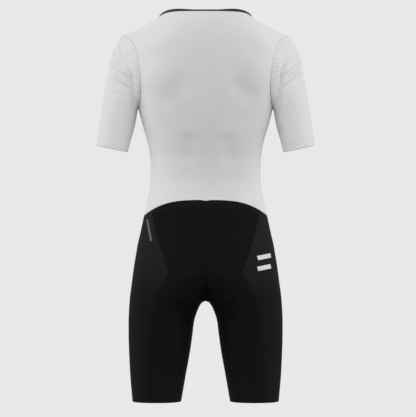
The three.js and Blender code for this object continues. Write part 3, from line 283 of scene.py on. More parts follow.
# Neck binding, waist hem, side tab and reflective bars
BINDING_HIGH = 8.6
BINDING_WALL = 2.4
BINDING_PROUD = 0.5
BINDING_FOLLOW = 0.5
BINDING_UPRIGHT = 0.8
BINDING_SINK = 3.6
BINDING_DIP = 3.0
BINDING_DIP_HALF = 52.0
BINDING_STITCH_ABOVE = 1.5
HEM_HIGH = 4.5
HEM_PROUD = 1.2
HEM_STITCH_ABOVE = 2.4
TAB_FROM = (131.0, -462.0)
TAB_TO = (121.0, -511.0)
TAB_HALF = 3.25
TAB_WALL = 0.8
BAR_X = (116.0, 146.0)
BAR_HEIGHTS = (-548.0, -572.0)
BAR_WIDE = 10.0
BAR_SLOPE = 0.18

# Each piece's cut before it was sewn and stretched over the body: width and length in millimetres, and area
# in square metres where it isn't the rectangle's. Braces stand for left and right, whose cuts are alike.
CUTS = {
    "back_body_cloth": (391, 566, 0.1385), "front_{}_cloth": (188, 559, 0.0643),
    "sleeve_{}_cloth": (426, 250, 0.0536), "waist_strip_{}_cloth": (117, 16, 0.0017),
    "yoke_{}_cloth": (116, 144, 0.0129), "seat_{}_cloth": (146, 239, 0.0177),
    "back_leg_{}_cloth": (142, 170, 0.0180), "side_panel_{}_cloth": (219, 454, 0.0708),
    "front_leg_{}_cloth": (145, 465, 0.0491), "gusset_cloth": (91, 200, 0.0092),
    "neck_binding_band": (530, 14, None), "zip_tape_band": (22, 392, None),
}

# Zip, with its teeth's size along, across and out
TAPE_HALF = 11.0
TAPE_WALL = 0.8
TAPE_DEEP = 1.9
CHAIN_FROM = 11.8
TOOTH_PITCH = 2.6
TOOTH_SIZE = (TOOTH_PITCH * 0.72, 3.0, 2.2)
TOOTH_SWAY = 0.9
TOOTH_LIFT = -0.6
ZIP_STITCH_FROM = 3

# Soft boxes of the studio: direction, strength, tightness
SOFT_BOXES = (
    ((-0.95, 0.3, 0.08), 1.55, 2.5), ((0.95, 0.3, 0.08), 1.55, 2.5), ((0.0, 1.0, 0.15), 0.34, 6.0),
    ((0.0, -0.85, 0.5), 0.55, 3.0), ((0.0, 0.0, 1.0), 0.15, 3.0),
)
BELOW_FROM = 0.35
CAMERA_AIM = (-0.0054, 0.0, -0.4374)


# Curves and surfaces


def mix(a, b, t):
    """The value at a share t of the way from a to b."""
    return a + (b - a) * t


def signed_power(value, power):
    """A power of the size, with the value's own sign."""
    return np.sign(value) * np.abs(value) ** power


def soft_step(t):
    """Eases from 0 to 1 with no corner at either end."""
    return t * t * (3 - 2 * t)


def running_total(steps, axis=0):
    """Sums along one axis, starting from zero."""
    start = np.zeros_like(np.take(steps, [0], axis=axis))
    return np.concatenate([start, np.cumsum(steps, axis=axis)], axis=axis)


def unit(vectors):
    """The same directions, with a length of one."""
    return vectors / np.linalg.norm(vectors, axis=-1, keepdims=True)


def mirrored(points):
    return points * (-1, 1, 1)


def whole(half):
    """Both halves of a grid whose rows start at the middle, from its left edge to its right."""
    return np.concatenate([half[:, ::-1], mirrored(half)[:, 1:]], axis=1)


def column(table, value, at=0):
    """A smooth curve through one column of a table, with no overshoot between its rows."""
    rows = sorted(table, key=lambda row: row[at])
    xs = np.array([row[at] for row in rows], float)
    ys = np.array([value(row) if callable(value) else row[value] for row in rows], float)
    steps = np.diff(ys) / np.diff(xs)
    slopes = np.concatenate([steps[:1], np.zeros(len(xs) - 2), steps[-1:]])
    before, after = steps[:-1], steps[1:]
    rising = before * after > 0
    slopes[1:-1][rising] = (2 * before * after)[rising] / (before + after)[rising]

    def curve(x):
        x = np.asarray(x, float)
        i = np.clip(np.searchsorted(xs, x) - 1, 0, len(xs) - 2)
        span = xs[i + 1] - xs[i]
        t = np.clip((x - xs[i]) / span, 0, 1)
        lead = t * (1 - t) ** 2 * span * slopes[i]
        tail = t * t * (1 - t) * span * slopes[i + 1]
        return mix(ys[i], ys[i + 1], soft_step(t)) + lead - tail

    return curve


def reach_along(line):
    """Distance from the first point to each point of a line."""
    return running_total(np.linalg.norm(np.diff(line, axis=0), axis=1))


def even_steps(curve, count, start=0.0):
    """The parameters, up to 1, of points at equal steps along a curve."""
    t = np.linspace(start, 1.0, FINE_STEPS + 1)
    reach = reach_along(curve(t))
    return np.interp(np.linspace(0, reach[-1], count + 1), reach, t)


shorts_side = column(SHORTS_SECTIONS, 1)
shorts_back = column(SHORTS_SECTIONS, 3)
shorts_front = column(SHORTS_SECTIONS, 4)
gap_square = column(SHORTS_SECTIONS, lambda row: signed_power(row[2], 2))
gap_outside = column(OUTER_GAP, 1)


def shorts_x(share, z):
    """How far out the shorts reach at a height; share runs from -1 at the inseam to 1 at the side."""
    inside = signed_power(gap_square(z), 0.5)
    outer = np.clip((share - GAP_BLEND[0]) / (GAP_BLEND[1] - GAP_BLEND[0]), 0, 1)
    gap = mix(inside, gap_outside(z), soft_step(outer))
    return shorts_side(z) * (1 + share) / 2 + gap * (1 - share) / 2


def shorts_point(phi, z):
    """A point of the left half of the shorts at a ring angle in degrees and a height."""
    phi, z = np.broadcast_arrays(np.asarray(phi, float), np.asarray(z, float))
    turn = np.radians(phi)
    depth = np.where(np.sin(turn) >= 0, shorts_back(z), shorts_front(z))
    x = shorts_x(signed_power(np.cos(turn), 2 / BODY_ROUND), z)
    return np.stack([x, depth * signed_power(np.sin(turn), 2 / BODY_ROUND), z], axis=-1)


def shorts_angle(x, z, side=1):
    """The ring angle at a distance x from the middle plane, on the back (1) or the front (-1)."""
    x, z = np.broadcast_arrays(np.asarray(x, float), np.asarray(z, float))
    low, high = -np.ones(x.shape), np.ones(x.shape)
    for _ in range(HALVINGS):
        middle = (low + high) / 2
        inside = shorts_x(middle, z) < x
        low, high = np.where(inside, middle, low), np.where(inside, high, middle)
    return side * np.degrees(np.arccos(signed_power((low + high) / 2, BODY_ROUND / 2)))


def waist_back_z(x):
    """Height of the back's waist seam at a distance x from the middle plane."""
    dip = WAIST_DIP * np.exp(-((x / WAIST_DIP_WIDE) ** 2))
    return WAIST_BACK_Z - WAIST_SIDE_DROP * (np.abs(x) / WAIST_HALF) ** WAIST_BACK_POWER - dip


WAIST_SIDE_Z = WAIST_BACK_Z - WAIST_SIDE_DROP


def waist_front_z(x):
    """The same for the fronts."""
    return mix(WAIST_FRONT_Z, WAIST_SIDE_Z, (np.abs(x) / WAIST_HALF) ** WAIST_FRONT_POWER)


def waist_spot(phi, height):
    """The spot at a ring angle where the waist's height is as its function of x says."""
    z = WAIST_SIDE_Z
    for _ in range(WAIST_ROUNDS):
        z = height(shorts_point(phi, z)[..., 0])
    return phi, z


def spots_along(spot_at, count):
    """Spots (angle, height) at equal steps along a seam of the shorts."""
    t = even_steps(lambda t: shorts_point(*spot_at(t)), count)
    phi, z = np.broadcast_arrays(*spot_at(t))
    return np.stack([phi, z], axis=1)


def at_x(x, z, side=1):
    """The spot at a distance x from the middle plane."""
    return shorts_angle(x, z, side), z


def waist_run(start, end, height, count):
    """Spots along the waist between two ring angles."""
    return spots_along(lambda t: waist_spot(mix(start, end, t), height), count)


def side_spots(seam_x, start, end, count, side=1):
    """Spots down a seam whose x is a function of its height."""
    return spots_along(lambda t: at_x(seam_x(mix(start, end, t)), mix(start, end, t), side), count)


def middle_spots(start, end, count, side=1):
    return spots_along(lambda t: at_x(0.0, mix(start, end, t), side), count)


def inseam_spots(start, end, count, angle=180.0):
    return spots_along(lambda t: (angle + 0 * t, mix(start, end, t)), count)


def lower_seam_spot(t):
    """The lower seam runs from the inseam round the back of the thigh to the side seam."""
    (inner_x, inner_z), (outer_x, outer_z) = LOWER_SEAM[0], LOWER_SEAM[-1]
    phi = mix(180.0, shorts_angle(outer_x, outer_z), t)
    inner = mix(INSEAM_SEAM_Z, inner_z, np.clip((180 - phi) / INSEAM_TURN, 0, 1))
    z = inner
    for _ in range(LOWER_SEAM_ROUNDS):
        x = shorts_point(phi, z)[..., 0]
        z = np.where(x < inner_x, inner, column(LOWER_SEAM, 1)(x))
    return phi, z


def gusset_edge(side):
    """The gusset's edge, from its top on the middle line to its lowest point on the inseam."""
    top_z = GUSSET_TOP_Z - 1
    top = shorts_angle(GUSSET_TOP_HALF, top_z)
    corner = shorts_angle(*GUSSET_SHOULDER)

    def spot(t):
        down, turn = np.clip(t / 0.5, 0, 1), np.clip((t - 0.5) / 0.5, 0, 1)
        phi = np.where(t < 0.5, mix(top, corner, down), mix(corner, 180.0, turn))
        low = mix(GUSSET_SHOULDER[1], GUSSET_LOW_Z, np.sin(turn * np.pi / 2))
        return side * phi, np.where(t < 0.5, mix(top_z, GUSSET_SHOULDER[1], down), low)

    return spots_along(spot, GUSSET_STEPS)


def patch_spots(top, bottom, left, right):
    """Spots between four seam lines."""
    u = np.linspace(0, 1, len(top))[None, :, None]
    v = np.linspace(0, 1, len(left))[:, None, None]
    sides = mix(left[:, None], right[:, None], u)
    ends = mix(top[None], bottom[None], v)
    corners = mix(mix(top[0], top[-1], u), mix(bottom[0], bottom[-1], u), v)
    return sides + ends - corners


def crotch_line(side, top_z, count):
    """Spots down the middle line to the crotch."""
    return spots_along(lambda t: at_x(0.0, mix(top_z, CROTCH_Z, np.sin(t * np.pi / 2)), side), count)


def round_the_crotch(back, front):
    """Joins spots of the back and the front to one row of spots under the crotch."""
    front = front[::-1][1:].copy()
    front[:, 0] += 360
    return np.concatenate([back, front])


def seam_spots():
    """All seam lines of the left half of the shorts."""
    back_edge = shorts_angle(STRIP_HALF, waist_back_z(STRIP_HALF))
    front_edge_x = FRONT_SIDE_SEAM[0][1]
    front_edge = shorts_angle(front_edge_x, waist_front_z(front_edge_x), -1)
    seat_x, yoke_x = column(SEAT_SIDE_SEAM, 1), column(YOKE_SIDE_SEAM, 1)
    yoke_low_z, outer_z = ARC_Z - ARC_DROP, LOWER_SEAM[-1][1]
    lines = {
        "waist_strip": waist_run(90.0, back_edge, waist_back_z, BACK_STEPS),
        "waist_flank": waist_run(back_edge, 0.0, waist_back_z, FLANK_STEPS),
        "waist_flank_front": waist_run(0.0, front_edge, waist_front_z, FRONT_FLANK_STEPS),
        "waist_front": waist_run(front_edge, -90.0, waist_front_z, FRONT_STEPS),
        "strip_low": spots_along(
            lambda t: at_x(STRIP_HALF * t, STRIP_LOW_Z - STRIP_LOW_DROP * t**STRIP_LOW_POWER), BACK_STEPS
        ),
        "arc": spots_along(lambda t: at_x(ARC_HALF * t, ARC_Z - ARC_DROP * t * t), BACK_STEPS),
        "lower": spots_along(lower_seam_spot, BACK_STEPS),
        "yoke_centre": middle_spots(STRIP_LOW_Z, ARC_Z, YOKE_STEPS),
        "yoke_side": side_spots(yoke_x, STRIP_LOW_Z - STRIP_LOW_DROP, yoke_low_z, YOKE_STEPS),
        "gusset_back": gusset_edge(1),
        "gusset_front": gusset_edge(-1),
        "leg_inner": inseam_spots(INSEAM_SEAM_Z, LEG_HEM_Z, LEG_STEPS),
        "leg_side": side_spots(seat_x, outer_z, LEG_HEM_Z, LEG_STEPS),
    }
    lines["seat_centre"] = np.concatenate([
        middle_spots(ARC_Z, GUSSET_TOP_Z, SEAT_CENTRE_STEPS),
        lines["gusset_back"],
        inseam_spots(GUSSET_LOW_Z, INSEAM_SEAM_Z, INSEAM_STEPS)[1:],
    ])
    lines["seat_side"] = side_spots(seat_x, yoke_low_z, outer_z, len(lines["seat_centre"]) - 1)
    above = STRIP_ROWS + YOKE_STEPS + SEAT_CENTRE_STEPS
    lines["front_centre"] = np.concatenate([
        middle_spots(WAIST_FRONT_Z, GUSSET_TOP_Z, above, -1),
        lines["gusset_front"],
        inseam_spots(GUSSET_LOW_Z, INSEAM_SEAM_Z, INSEAM_STEPS, -180.0)[1:],
        inseam_spots(INSEAM_SEAM_Z, LEG_HEM_Z, LEG_STEPS, -180.0)[1:],
    ])
    top_to_low = np.linspace(lines["waist_strip"][-1], lines["strip_low"][-1], STRIP_ROWS + 1)
    lines["flank_back"] = np.concatenate([
        top_to_low, lines["yoke_side"][1:], lines["seat_side"][1:], lines["leg_side"][1:]
    ])
    rows = len(lines["front_centre"]) - 1
    front_top = lines["waist_flank_front"][-1]
    lines["flank_front"] = side_spots(column(FRONT_SIDE_SEAM, 1), front_top[1], LEG_HEM_Z, rows, -1)
    lines["flank_front"][0] = front_top
    return lines


def shorts_panels():
    """The left half's panels by name, as grids of points."""
    s = seam_spots()
    back_angle, front_angle = s["leg_side"][-1, 0], s["flank_front"][-1, 0]
    strip_middle = np.linspace(s["waist_strip"][0], s["strip_low"][0], STRIP_ROWS + 1)
    strip_side = s["flank_back"][: STRIP_ROWS + 1]

    def hem(start, end, count):
        return spots_along(lambda t: (mix(start, end, t), LEG_HEM_Z + 0 * t), count)

    spots = {
        "waist_strip": patch_spots(s["waist_strip"], s["strip_low"], strip_middle, strip_side),
        "yoke": patch_spots(s["strip_low"], s["arc"], s["yoke_centre"], s["yoke_side"]),
        "seat": patch_spots(s["arc"], s["lower"], s["seat_centre"], s["seat_side"]),
        "back_leg": patch_spots(
            s["lower"], hem(180.0, back_angle, BACK_STEPS), s["leg_inner"], s["leg_side"]
        ),
        "side_panel": patch_spots(
            np.concatenate([s["waist_flank"], s["waist_flank_front"][1:]]),
            hem(back_angle, front_angle, FLANK_STEPS + FRONT_FLANK_STEPS),
            s["flank_back"], s["flank_front"],
        ),
        "front_leg": patch_spots(
            s["waist_front"], hem(front_angle, -180.0, FRONT_STEPS), s["flank_front"], s["front_centre"]
        ),
    }
    return {name: shorts_point(grid[..., 0], grid[..., 1]) for name, grid in spots.items()}


def across_the_middle(rim, middle, count):
    """A grid of both halves of a piece that crosses the middle plane, from the left rim to the right."""
    u = np.linspace(0, 1, count + 1)[None, :, None]
    spots = mix(rim[:, None], middle[:, None], u)
    return whole(shorts_point(spots[..., 0], spots[..., 1])[:, ::-1])


def gusset_grid():
    rim = round_the_crotch(gusset_edge(1), gusset_edge(-1))
    middle = round_the_crotch(*(crotch_line(side, GUSSET_TOP_Z, GUSSET_STEPS) for side in (1, -1)))
    return across_the_middle(rim, middle, GUSSET_ACROSS)


def pad_spots():
    """The seat pad's outline as spots, from the back's middle line under the crotch to the front's."""
    def angle(row):
        _, x, z, side = row
        if side == 0:
            return 180.0
        return float(shorts_angle(x, z)) if side > 0 else 360.0 + float(shorts_angle(x, z, -1))

    share = np.linspace(0, 1, PAD_STEPS + 1)
    return np.stack([column(PAD_OUTLINE, angle)(share), column(PAD_OUTLINE, 2)(share)], axis=1)


# The top

top_back = column(TOP_SECTIONS, 2)
top_front = column(TOP_SECTIONS, 3)
top_half = column(TOP_SECTIONS, 1)
armhole_x = {"back": column(ARMHOLE_LINE, 1), "front": column(ARMHOLE_LINE, 2)}
TOP_ROWS = SHOULDER_STEPS + ARMHOLE_STEPS + SIDE_STEPS
ARMPIT_ROW = SHOULDER_STEPS + ARMHOLE_STEPS
ZIP_OPEN_HALF = 3.2
EASE_EDGE = 14.0
EASE_PASSES = 90


def armhole_point(angle, face):
    """A point of the armhole seam, at pi / 2 on the shoulder and -pi / 2 in the armpit."""
    middle = (SHOULDER_TIP[2] + ARMPIT[2]) / 2
    half_high = (SHOULDER_TIP[2] - ARMPIT[2]) / 2
    z = middle + half_high * math.sin(angle)
    return np.array([float(armhole_x[face](z)), SHOULDER_TIP[1] + ARMHOLE_DEPTH[face] * math.cos(angle), z])


def top_row(row, face):
    """One row of the top: its middle and edge points, and how it turns and drops between them."""
    neck, tip, armpit, waist = TOP_MIDDLE[face]
    neck_drop, tip_drop, armpit_drop, waist_drop = TOP_DROP[face]
    if row <= SHOULDER_STEPS:
        t = row / SHOULDER_STEPS
        z = mix(neck, tip, t)
        edge = np.array([
            float(column(SHOULDER_LINE, 1)(t)), SHOULDER_TIP[1] * t, float(column(SHOULDER_LINE, 2)(t))
        ])
        turn = mix(BODY_ROUND, TIP_ROUND, t)
        drop = mix(neck_drop, tip_drop, math.sqrt(t) if face == "back" else t)
    elif row <= ARMPIT_ROW:
        t = (row - SHOULDER_STEPS) / ARMHOLE_STEPS
        z = mix(tip, armpit, t)
        edge = armhole_point(math.pi * (0.5 - t), face)
        low = max(0.0, 2 * t - 1)
        turn = mix(TIP_ROUND, ARMHOLE_ROUND, min(1.0, 2 * t))
        turn += (BODY_ROUND - ARMHOLE_ROUND) * low**ARMPIT_EASE
        drop = mix(tip_drop, armpit_drop, t)
    else:
        t = (row - ARMPIT_ROW) / SIDE_STEPS
        z = mix(armpit, waist, t)
        edge_z = mix(ARMPIT[2], WAIST_SIDE_Z, t)
        edge = np.array([float(top_half(edge_z)), mix(ARMPIT[1], 0.0, min(1.0, 3 * t)), edge_z])
        turn = BODY_ROUND
        drop = mix(armpit_drop, waist_drop, t)
    depth = float(top_back(z)) if face == "back" else -float(top_front(z))
    return depth, z, edge, turn, drop


def row_points(data, t):
    """Points of a row of the top; t runs from 0 at its middle to 1 at its edge."""
    depth, z, edge, turn, drop = data
    share = np.sin(t * np.pi / 2) ** (2 / BODY_ROUND)
    bulge = np.where(t >= 1, 0.0, np.cos(t * np.pi / 2).clip(0) ** (2 / turn))
    return np.stack([edge[0] * share, mix(edge[1], depth, bulge), mix(z, edge[2], share**drop)], axis=-1)


def ease_rows(grid):
    """Takes the creases out between a half's rows, all but at its edges."""
    from_edge = np.linalg.norm(grid - grid[:, -1:], axis=-1)
    weight = np.clip(from_edge / EASE_EDGE, 0, 1)[1:-1, :, None] / 4
    grid = grid.copy()
    for _ in range(EASE_PASSES):
        grid[1:-1] += weight * (grid[:-2] + grid[2:] - 2 * grid[1:-1])
    return grid


def top_half_grid(face):
    """The left half of the back or the front, each row from the middle to the edge."""
    s = seam_spots()
    if face == "back":
        spots = np.concatenate([s["waist_strip"], s["waist_flank"][1:]])
    else:
        spots = np.concatenate([s["waist_flank_front"], s["waist_front"][1:]])[::-1]
    waist = shorts_point(spots[:, 0], spots[:, 1])
    shares = reach_along(waist)
    shares /= shares[-1]
    rows = []
    for row in range(TOP_ROWS + 1):
        data = top_row(row, face)
        start = 0.0
        if face == "front":
            start = math.asin((ZIP_OPEN_HALF / data[2][0]) ** (BODY_ROUND / 2)) * 2 / math.pi
        fine = even_steps(lambda t, data=data: row_points(data, t), FINE_STEPS, start)
        rows.append(row_points(data, np.interp(shares, np.linspace(0, 1, FINE_STEPS + 1), fine)))
    grid = ease_rows(np.array(rows))
    if face == "front":
        waist[0, 0] = ZIP_OPEN_HALF
    down = np.clip((np.arange(TOP_ROWS + 1) - ARMPIT_ROW) / SIDE_STEPS, 0, 1)
    return grid + soft_step(down)[:, None, None] * (waist - grid[-1])


def sleeve_grid():
    """Rings from the armhole to the cuff; each starts and ends at the inner side of the arm."""
    curves = [column(SLEEVE_RINGS, k) for k in range(1, 7)]
    turns = np.linspace(-1, 1, 2 * ARMHOLE_STEPS + 1)
    angle = np.pi * (0.5 - np.abs(turns))
    face = np.where(turns > 0, -1.0, 1.0)
    armhole = np.array([armhole_point(a, "back" if f > 0 else "front") for a, f in zip(angle, face)])

    def ring(at):
        out_x, out_z, in_x, in_z, depth, bow = (float(curve(at)) for curve in curves)
        share = (1 - np.sin(angle)) / 2
        x = mix(out_x, in_x, share) - bow * np.cos(angle) ** 2
        y = SHOULDER_TIP[1] + face * depth * np.cos(angle)
        return np.stack([x, y, mix(out_z, in_z, share)], axis=-1)

    rows = []
    for i in range(SLEEVE_STEPS + 1):
        at = i / SLEEVE_STEPS
        hold = (1 - min(1.0, at / SLEEVE_HOLD)) ** 2
        rows.append(ring(at) + hold * (armhole - ring(0.0)))
    return np.array(rows)


# Cloth pieces


def outward(points, behind, closed=False):
    """Unit directions out of a grid of points; behind is a point on its inner side."""
    across = np.gradient(points, axis=1)
    if closed:
        across[:, 0] = across[:, -1] = points[:, 1] - points[:, -2]
    normals = np.cross(across, np.gradient(points, axis=0))
    length = np.linalg.norm(normals, axis=-1, keepdims=True)
    normals /= np.where(length > 1e-9, length, 1)
    centre = (points.shape[0] // 2, points.shape[1] // 4)
    if normals[centre] @ (points[centre] - np.array(behind)) < 0:
        normals = -normals
    return normals


def aside(line, normals):
    """Unit directions sideways over the cloth from a line on it."""
    return unit(np.cross(normals, np.gradient(line, axis=0)))


def cloth_lengths(points):
    """Distances along a grid's rows and down its columns, in millimetres."""
    across = np.linalg.norm(np.diff(points, axis=1), axis=-1)
    down = np.linalg.norm(np.diff(points, axis=0), axis=-1)
    return running_total(across, 1), running_total(down, 0)


def centred(lengths):
    """Distances along each row, counted from its middle."""
    return lengths - lengths[:, [lengths.shape[1] // 2]]


def sleeve_lengths(points, sign):
    """Cloth coordinates of a sleeve: round the arm from its outer line, and down it."""
    down = np.array([math.sin(KNIT_TILT) * sign, 0.0, -math.cos(KNIT_TILT)])
    step = np.diff(points, axis=1)
    across = step - (step @ down)[..., None] * down
    return centred(running_total(np.linalg.norm(across, axis=-1), 1)), points @ down


def edge_distance(points, edges):
    """How far each point is from the nearest of the named edges, in millimetres."""
    u, v = cloth_lengths(points)
    gaps = {"left": u, "right": u[:, -1:] - u, "top": v, "bottom": v[-1:] - v}
    return np.min([gaps[edge] for edge in edges], axis=0) if edges else np.full(u.shape, NO_EDGE)


def fold_depth(points, folds):
    """How far folds press in each point of the cloth."""
    depth = np.zeros(points.shape[:-1])
    for x0, z0, x1, z1, deep, spread in folds:
        run_x, run_z = x1 - x0, z1 - z0
        length = math.hypot(run_x, run_z)
        dx, dz = points[..., 0] - x0, points[..., 2] - z0
        along = (dx * run_x + dz * run_z) / length**2
        over = (dx * run_z - dz * run_x) / length
        fade = np.exp(-((np.abs(along - 0.5) / FOLD_REACH) ** 4))
        depth += deep * fade * np.exp(-((over / spread) ** 2))
    return depth


def deselect():
    bpy.ops.object.select_all(action="DESELECT")


def select_only(*pieces):
    """Selects these pieces and nothing else; the first becomes the active one."""
    deselect()
    for piece in pieces:
        piece.select_set(True)
    bpy.context.view_layer.objects.active = pieces[0]


@contextlib.contextmanager
def opened(piece):
    """A piece's mesh, opened for a change and written back after it."""
    mesh = bmesh.new()
    mesh.from_mesh(piece.data)
    yield mesh
    mesh.to_mesh(piece.data)
    mesh.free()


def mesh_object(name, points, faces):
    """A new piece of these points, in millimetres, and faces."""
    mesh = bpy.data.meshes.new(name)
    mesh.from_pydata((points * MM).tolist(), [], faces)
    piece = bpy.data.objects.new(name, mesh)
    bpy.context.collection.objects.link(piece)
    return piece


def grid_faces(index):
    """The four corners of each face of a grid of point numbers."""
    return np.stack([index[:-1, :-1], index[1:, :-1], index[1:, 1:], index[:-1, 1:]], axis=-1).reshape(-1, 4)


def grid_object(name, points, uv):
    """A piece made of one grid of points with its cloth coordinates, both in millimetres."""
    rows, columns = points.shape[:2]
    quads = grid_faces(np.arange(rows * columns).reshape(rows, columns))
    piece = mesh_object(name, points.reshape(-1, 3), quads.tolist())
    layer = piece.data.uv_layers.new(name=UV_NAME)
    layer.data.foreach_set("uv", (uv.reshape(-1, 2) * MM)[quads.reshape(-1)].ravel())
    return piece


def finish_piece(piece, look, node=None, smooth=40.0):
    """Smooths a piece, gives it its material, and says what it rides on and stands for."""
    select_only(piece)
    bpy.ops.object.shade_smooth_by_angle(angle=math.radians(smooth))
    piece.data.materials.clear()
    piece.data.materials.append(bpy.data.materials[look])
    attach(piece, SUIT)
    if node:
        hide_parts(node)


def cloth(
    node, points, behind, look, ending="cloth", wall=None, closed=False,
    folds=(), seams=ALL_EDGES, share=1.0, lift=0.0, lengths=None,
):
    """A cloth panel: its grid pressed in along its seams and folds, then given a wall on its inner side.

    The panel stands for a node; share says how deep its seams are drawn in, lift raises its points.
    """
    sizes = bpy.context.scene.suit_cloth
    normals = outward(points, behind, closed)
    near = edge_distance(points, seams)
    groove = share * sizes.seam_depth / MM * np.exp(-((near / (sizes.seam_width / MM)) ** 2))
    shaped = points - normals * (groove + fold_depth(points, folds) - lift)[..., None]
    if lengths is None:
        across, down = cloth_lengths(points)
        lengths = centred(across), down
    uv = np.stack(lengths, axis=-1)
    row, col = points.shape[0] // 2, points.shape[1] // 4
    facing = np.cross(points[row, col + 1] - points[row, col], points[row + 1, col] - points[row, col])
    if facing @ normals[row, col] > 0:
        shaped, uv = shaped[:, ::-1], uv[:, ::-1]
    piece = grid_object(f"{node}_{ending}", shaped, uv)
    if closed:
        with opened(piece) as mesh:
            bmesh.ops.remove_doubles(mesh, verts=mesh.verts, dist=MERGE)
    select_only(piece)
    solid = piece.modifiers.new("wall", "SOLIDIFY")
    solid.thickness = wall or sizes.wall
    solid.offset = -1.0
    solid.use_even_offset = False
    bpy.ops.object.modifier_apply(modifier=solid.name)
    finish_piece(piece, look, node)


def stations(line, normals, pitch):
    """Points at equal steps along a line, with the directions along and out."""
    reach = reach_along(line)
    count = max(1, int(reach[-1] / pitch))
    at = (np.arange(count) + 0.5) * reach[-1] / count

    def sample(values, where):
        return np.stack([np.interp(where, reach, values[:, k]) for k in range(3)], axis=1)

    out = unit(sample(normals, at))
    along = sample(line, at + 0.5) - sample(line, at - 0.5)
    along = unit(along - out * np.sum(along * out, axis=1, keepdims=True))
    return sample(line, at), along, out


def model_once(add, resize):
    """The points and faces of one small shape, modelled with Blender's own tools."""
    deselect()
    add()
    made = bpy.context.object
    bpy.ops.object.mode_set(mode="EDIT")
    bpy.ops.mesh.select_all(action="SELECT")
    bpy.ops.transform.resize(value=resize)
    bpy.ops.mesh.normals_make_consistent(inside=False)
    bpy.ops.object.mode_set(mode="OBJECT")
    points = np.array([list(v.co) for v in made.data.vertices])
    faces = [list(face.vertices) for face in made.data.polygons]
    bpy.data.objects.remove(made, do_unlink=True)
    return points, faces


def one_stitch(length, thick):
    """A stitch, as a small lying drop."""
    def add():
        lying = (0.0, math.pi / 2, 0.0)
        bpy.ops.mesh.primitive_uv_sphere_add(segments=6, ring_count=4, radius=0.5, rotation=lying)
        bpy.ops.object.transform_apply(location=True, rotation=True, scale=True)

    return model_once(add, (length, thick, thick))


def one_tooth():
    """A tooth of the zip, as a small rounded block."""
    def add():
        bpy.ops.mesh.primitive_cube_add(size=1.0)
        bpy.ops.object.mode_set(mode="EDIT")
        bpy.ops.mesh.bevel(offset=0.22, segments=2)
        bpy.ops.object.mode_set(mode="OBJECT")

    return model_once(add, TOOTH_SIZE)


def lay_copies(name, shape, place, along, out, lift=0.0, slant=0.0):
    """One piece of copies of a small shape; slant turns them left and right in turn, in degrees."""
    points, faces = shape
    side = np.cross(out, along)
    sway = np.radians(slant) * np.where(np.arange(len(place)) % 2 == 0, 1.0, -1.0)[:, None]
    first = along * np.cos(sway) + side * np.sin(sway)
    second = np.cross(out, first)
    copies = (
        place[:, None] + out[:, None] * (points[:, 2:3] + lift)
        + first[:, None] * points[:, 0:1] + second[:, None] * points[:, 1:2]
    )
    starts = range(0, copies[..., 0].size, len(points))
    every_face = [[index + start for index in face] for start in starts for face in faces]
    return mesh_object(name, copies.reshape(-1, 3), every_face)


def stitch_row(name, line, normals, look, length=2.3, thick=0.45, lift=0.1, slant=0.0, pitch=None):
    """A row of stitches along a line, all of one size in millimetres."""
    pitch = pitch or bpy.context.scene.suit_cloth.stitch_pitch / MM
    place, along, out = stations(line, normals, pitch)
    piece = lay_copies(name, one_stitch(length, thick), place, along, out, lift, slant)
    finish_piece(piece, look, smooth=180.0)


def seam_cord(name, lines, look, wide, lift, high=0.4):
    """Thin flat cords along seams; lines is a list of (points, normals)."""
    turns = np.linspace(0, 2 * np.pi, CORD_SIDES, endpoint=False)[:, None]
    rings, faces, first = [], [], 0
    for line, normals in lines:
        rise = normals[:, None] * (lift + high / 2 * np.sin(turns))
        ring = line[:, None] + rise + aside(line, normals)[:, None] * (wide / 2 * np.cos(turns))
        rings.append(ring.reshape(-1, 3))
        index = first + np.arange(len(rings[-1])).reshape(-1, CORD_SIDES)
        faces += grid_faces(np.concatenate([index, index[:, :1]], axis=1)).tolist()
        faces += [index[0].tolist(), index[-1].tolist()]
        first += len(rings[-1])
    piece = mesh_object(name, np.concatenate(rings), faces)
    with opened(piece) as mesh:
        bmesh.ops.recalc_face_normals(mesh, faces=mesh.faces)
    finish_piece(piece, look, smooth=180.0)


def shorts_line(spots, sign=1):
    """Points and outward directions along a seam of the shorts, for the left (1) or right (-1) half."""
    phi, z = spots[:, 0], spots[:, 1]
    step = 0.4
    around = shorts_point(phi + step, z) - shorts_point(phi - step, z)
    up = shorts_point(phi, z + step) - shorts_point(phi, z - step)
    return shorts_point(phi, z) * (sign, 1, 1), unit(np.cross(around, up)) * (sign, 1, 1)


def back_line(x, z, sign=1):
    """The same for places on the back of the shorts, given by x and z."""
    return shorts_line(np.stack([shorts_angle(x, z), z], axis=1), sign)


def band_profile(wide, high, low=0.0, corner=6):
    """A flat band's rounded profile: wide across, from low to high above the line."""
    radius = (high - low) / 2
    turn = np.linspace(-np.pi / 2, np.pi / 2, corner)
    right = [(wide / 2 - radius + radius * math.cos(a), low + radius + radius * math.sin(a)) for a in turn]
    return right + [(-x, z) for x, z in reversed(right)]


def strip(name, line, normals, profile, look, node=None):
    """A band along a line, with a closed profile of (across, out) points in millimetres."""
    profile = np.array([*profile, profile[0]])
    ring = line[:, None] + aside(line, normals)[:, None] * profile[:, :1] + normals[:, None] * profile[:, 1:]
    uv = np.stack(np.broadcast_arrays(reach_along(line)[:, None], reach_along(profile)), axis=-1)
    piece = grid_object(name, ring, uv)
    with opened(piece) as mesh:
        bmesh.ops.remove_doubles(mesh, verts=mesh.verts, dist=MERGE)
        bmesh.ops.holes_fill(mesh, edges=[edge for edge in mesh.edges if edge.is_boundary], sides=0)
        bmesh.ops.recalc_face_normals(mesh, faces=mesh.faces)
    finish_piece(piece, look, node, smooth=60.0)


